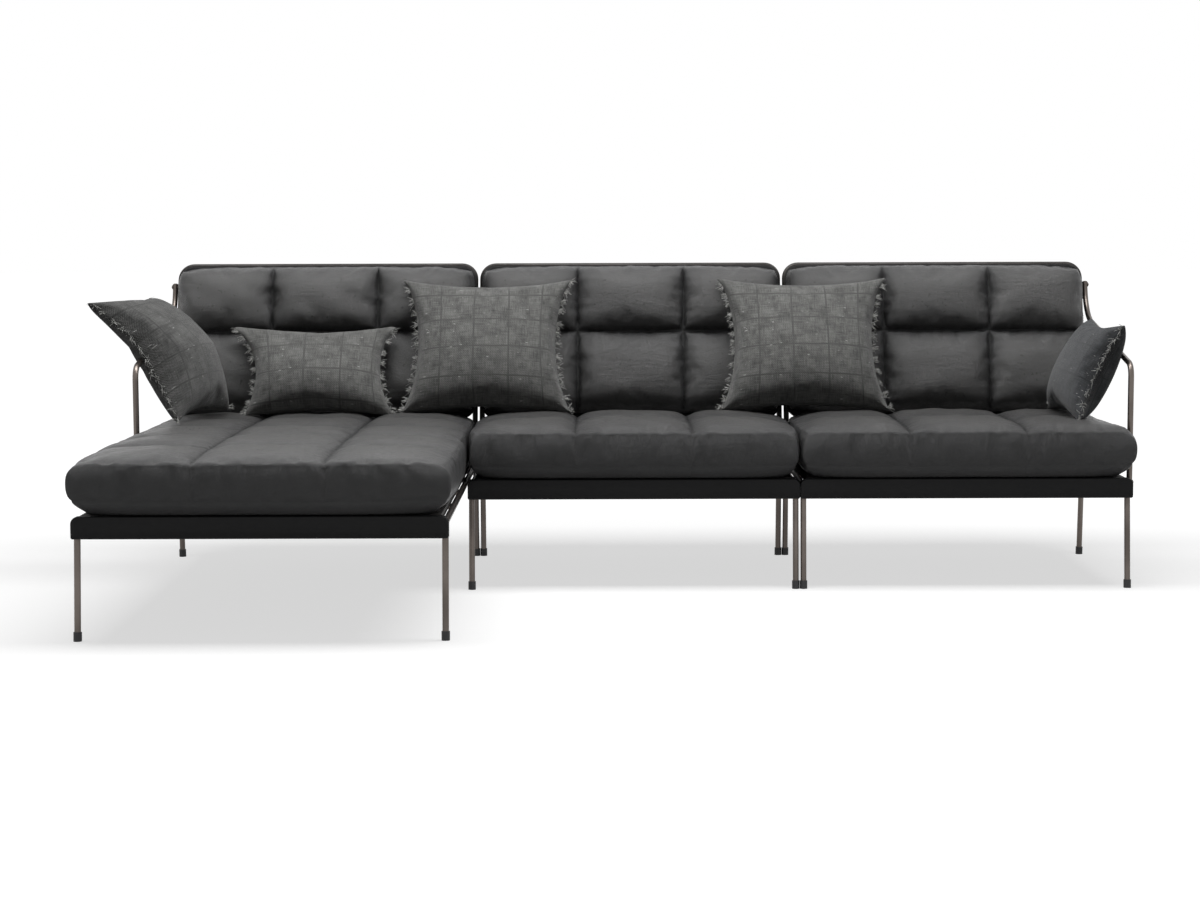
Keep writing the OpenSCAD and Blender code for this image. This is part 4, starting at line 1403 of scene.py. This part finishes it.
@dataclass(frozen=True)
class Studio:
    """The white studio: floor, soft lights and the photograph's camera."""

    eye: tuple[float, float, float] = (-0.0395, -6.40518, 0.998)
    yaw: float = -0.019
    pitch: float = -5.482
    roll: float = -0.171
    focal: float = 2397.6
    frame_width: float = 1200.0

    def camera(self) -> Piece:
        """Sets up the camera at the photograph's place and angle."""
        yaw, pitch, roll = (math.radians(a) for a in (self.yaw, self.pitch, self.roll))
        ahead = Vector((math.sin(yaw) * math.cos(pitch), math.cos(yaw) * math.cos(pitch), math.sin(pitch)))
        level = Vector((math.cos(yaw), -math.sin(yaw), 0))
        up = level.cross(ahead)
        right = level * math.cos(roll) + up * math.sin(roll)
        top = up * math.cos(roll) - level * math.sin(roll)
        data = bpy.data.cameras.new("photo_camera")
        data.sensor_width = 36.0
        data.sensor_fit = "HORIZONTAL"
        data.lens = self.focal / self.frame_width * data.sensor_width
        data.clip_end = 200.0
        found = bpy.data.objects.new("photo_camera", data)
        matrix = Matrix.Identity(4)
        for k, axis in enumerate((right, top, -ahead)):
            matrix.col[k].xyz = axis
        matrix.translation = Vector(self.eye)
        found.matrix_world = matrix
        bpy.context.scene.collection.objects.link(found)
        bpy.context.scene.camera = found
        return found

    def lamp(self, name: str, place: Sequence[float], aim: Sequence[float], size: tuple[float, float],
             power: float) -> None:
        """Adds a soft rectangular light that faces a point."""
        data = bpy.data.lights.new(name, "AREA")
        data.shape = "RECTANGLE"
        data.size, data.size_y = size
        data.energy = power
        lamp = bpy.data.objects.new(name, data)
        lamp.location = place
        lamp.rotation_euler = (Vector(aim) - Vector(place)).to_track_quat("-Z", "Y").to_euler()
        bpy.context.scene.collection.objects.link(lamp)

    def world(self, light: float = 0.10) -> None:
        """Sets the even light of the room; a ray of the camera, a gloss or a glass meets white."""
        world = bpy.context.scene.world = bpy.data.worlds.new("white_room")
        world.use_nodes = True
        tree = world.node_tree
        tree.nodes.clear()
        rays = tree.nodes.new("ShaderNodeLightPath")
        seen = rays.outputs["Is Camera Ray"]
        for kind in ("Is Glossy Ray", "Is Transmission Ray"):
            either = tree.nodes.new("ShaderNodeMath")
            either.operation = "MAXIMUM"
            tree.links.new(seen, either.inputs[0])
            tree.links.new(rays.outputs[kind], either.inputs[1])
            seen = either.outputs[0]
        room, white = (tree.nodes.new("ShaderNodeBackground") for _ in range(2))
        room.inputs["Strength"].default_value = light
        room.inputs["Color"].default_value = white.inputs["Color"].default_value = (1, 1, 1, 1)
        mix = tree.nodes.new("ShaderNodeMixShader")
        tree.links.new(seen, mix.inputs[0])
        tree.links.new(room.outputs[0], mix.inputs[1])
        tree.links.new(white.outputs[0], mix.inputs[2])
        output = tree.nodes.new("ShaderNodeOutputWorld")
        tree.links.new(mix.outputs[0], output.inputs["Surface"])

    def floor(self, near: float = 0.65, grows: tuple[float, float] = (1.1, 3.0)) -> Piece:
        """Lays a plain floor that the camera sees as white, but for the sofa's shadow.

        Args:
            near: the glow that a camera's ray meets beside the sofa.
            grows: how far from the middle the glow starts to grow, and where it is white.

        Returns:
            The floor.
        """
        s = Shader("white_floor")
        tone = s.noise(s.place(), 0.7, 2)
        colour = s.blend(tone, (0.35, 0.35, 0.35), (0.38, 0.38, 0.38))
        rays = s.add("LightPath")
        seen = s.math("MAXIMUM", rays.outputs["Is Camera Ray"], rays.outputs["Is Glossy Ray"])
        seen = s.math("MAXIMUM", seen, rays.outputs["Is Transmission Ray"])
        far = s.add("VectorMath", {0: s.place((0.7, 1, 0))}, operation="LENGTH").outputs["Value"]
        glow = s.times(seen, s.span(far, *grows, near, 1.0))
        material = s.finish({"Base Color": colour, "Roughness": 0.9, "Specular IOR Level": 0.0,
                             "Emission Color": (1, 1, 1, 1), "Emission Strength": glow})
        mesh = Mesh()
        mesh.add(np.array([(-40, -40, 0), (40, -40, 0), (40, 40, 0), (-40, 40, 0)]), [(0, 1, 2, 3)])
        floor = mesh.build("floor", material, smooth=False)
        return floor

    def build(self) -> None:
        """Sets up the camera, the floor and the lights."""
        self.camera()
        self.floor()
        self.world()
        self.lamp("overhead_softbox", (0.0, -0.22, 3.2), (0.0, -0.12, 0.4), (4.2, 1.3), 150.0)
        self.lamp("front_fill", (-1.6, -5.2, 2.6), (0.0, 0.0, 0.4), (2.4, 1.6), 5.0)
        bpy.context.scene.view_settings.view_transform = "Standard"


def main() -> None:
    """Builds the sofa's visible pieces in order and reports each."""
    logging.basicConfig(level=logging.INFO, format="%(name)s: %(message)s")
    Studio().build()
    finishes = Finishes()
    LOG.info("dressed %d carried-over nodes", RodWork(finishes).dress())
    for k, module in enumerate(MODULES):
        for end in ("front", "rear"):
            LOG.info("built %s", Rail.at(f"{module}_{end}_rail", finishes).build().name)
        LOG.info("built %s", BackPanel.at(k, finishes).build().name)
        LOG.info("built %s", Webbing(module, finishes).build().name)
        LOG.info("built %s", SeatCushion.at(module, finishes).build().name)
        LOG.info("built %s", BackCushion.at(k, finishes).build().name)
    pillows = [
        ThrowPillow("left_arm_pillow", (0.400, 0.420, 0.095), 39, 78, finishes, 1, 0.4,
                    plump=2.0, swell=0.55, belly=0.1, slump=0.034, reach=0.030, cloth=Cloth.DARK),
        ThrowPillow("lumbar_pillow", (0.430, 0.290, 0.115), 30, 0, finishes, 2,
                    swell=0.75, reach=0.050),
        ThrowPillow("left_square_pillow", (0.500, 0.420, 0.125), 24, 0, finishes, 3),
        ThrowPillow("right_square_pillow", (0.500, 0.420, 0.125), 24, 0, finishes, 4),
        ThrowPillow("right_arm_pillow", (0.450, 0.290, 0.095), 24, -90, finishes, 5,
                    plump=1.25, swell=0.5, belly=0.15, cloth=Cloth.SLATE),
    ]
    for pillow in pillows:
        LOG.info("built %s", pillow.build().name)


if __name__ == "__main__":
    main()
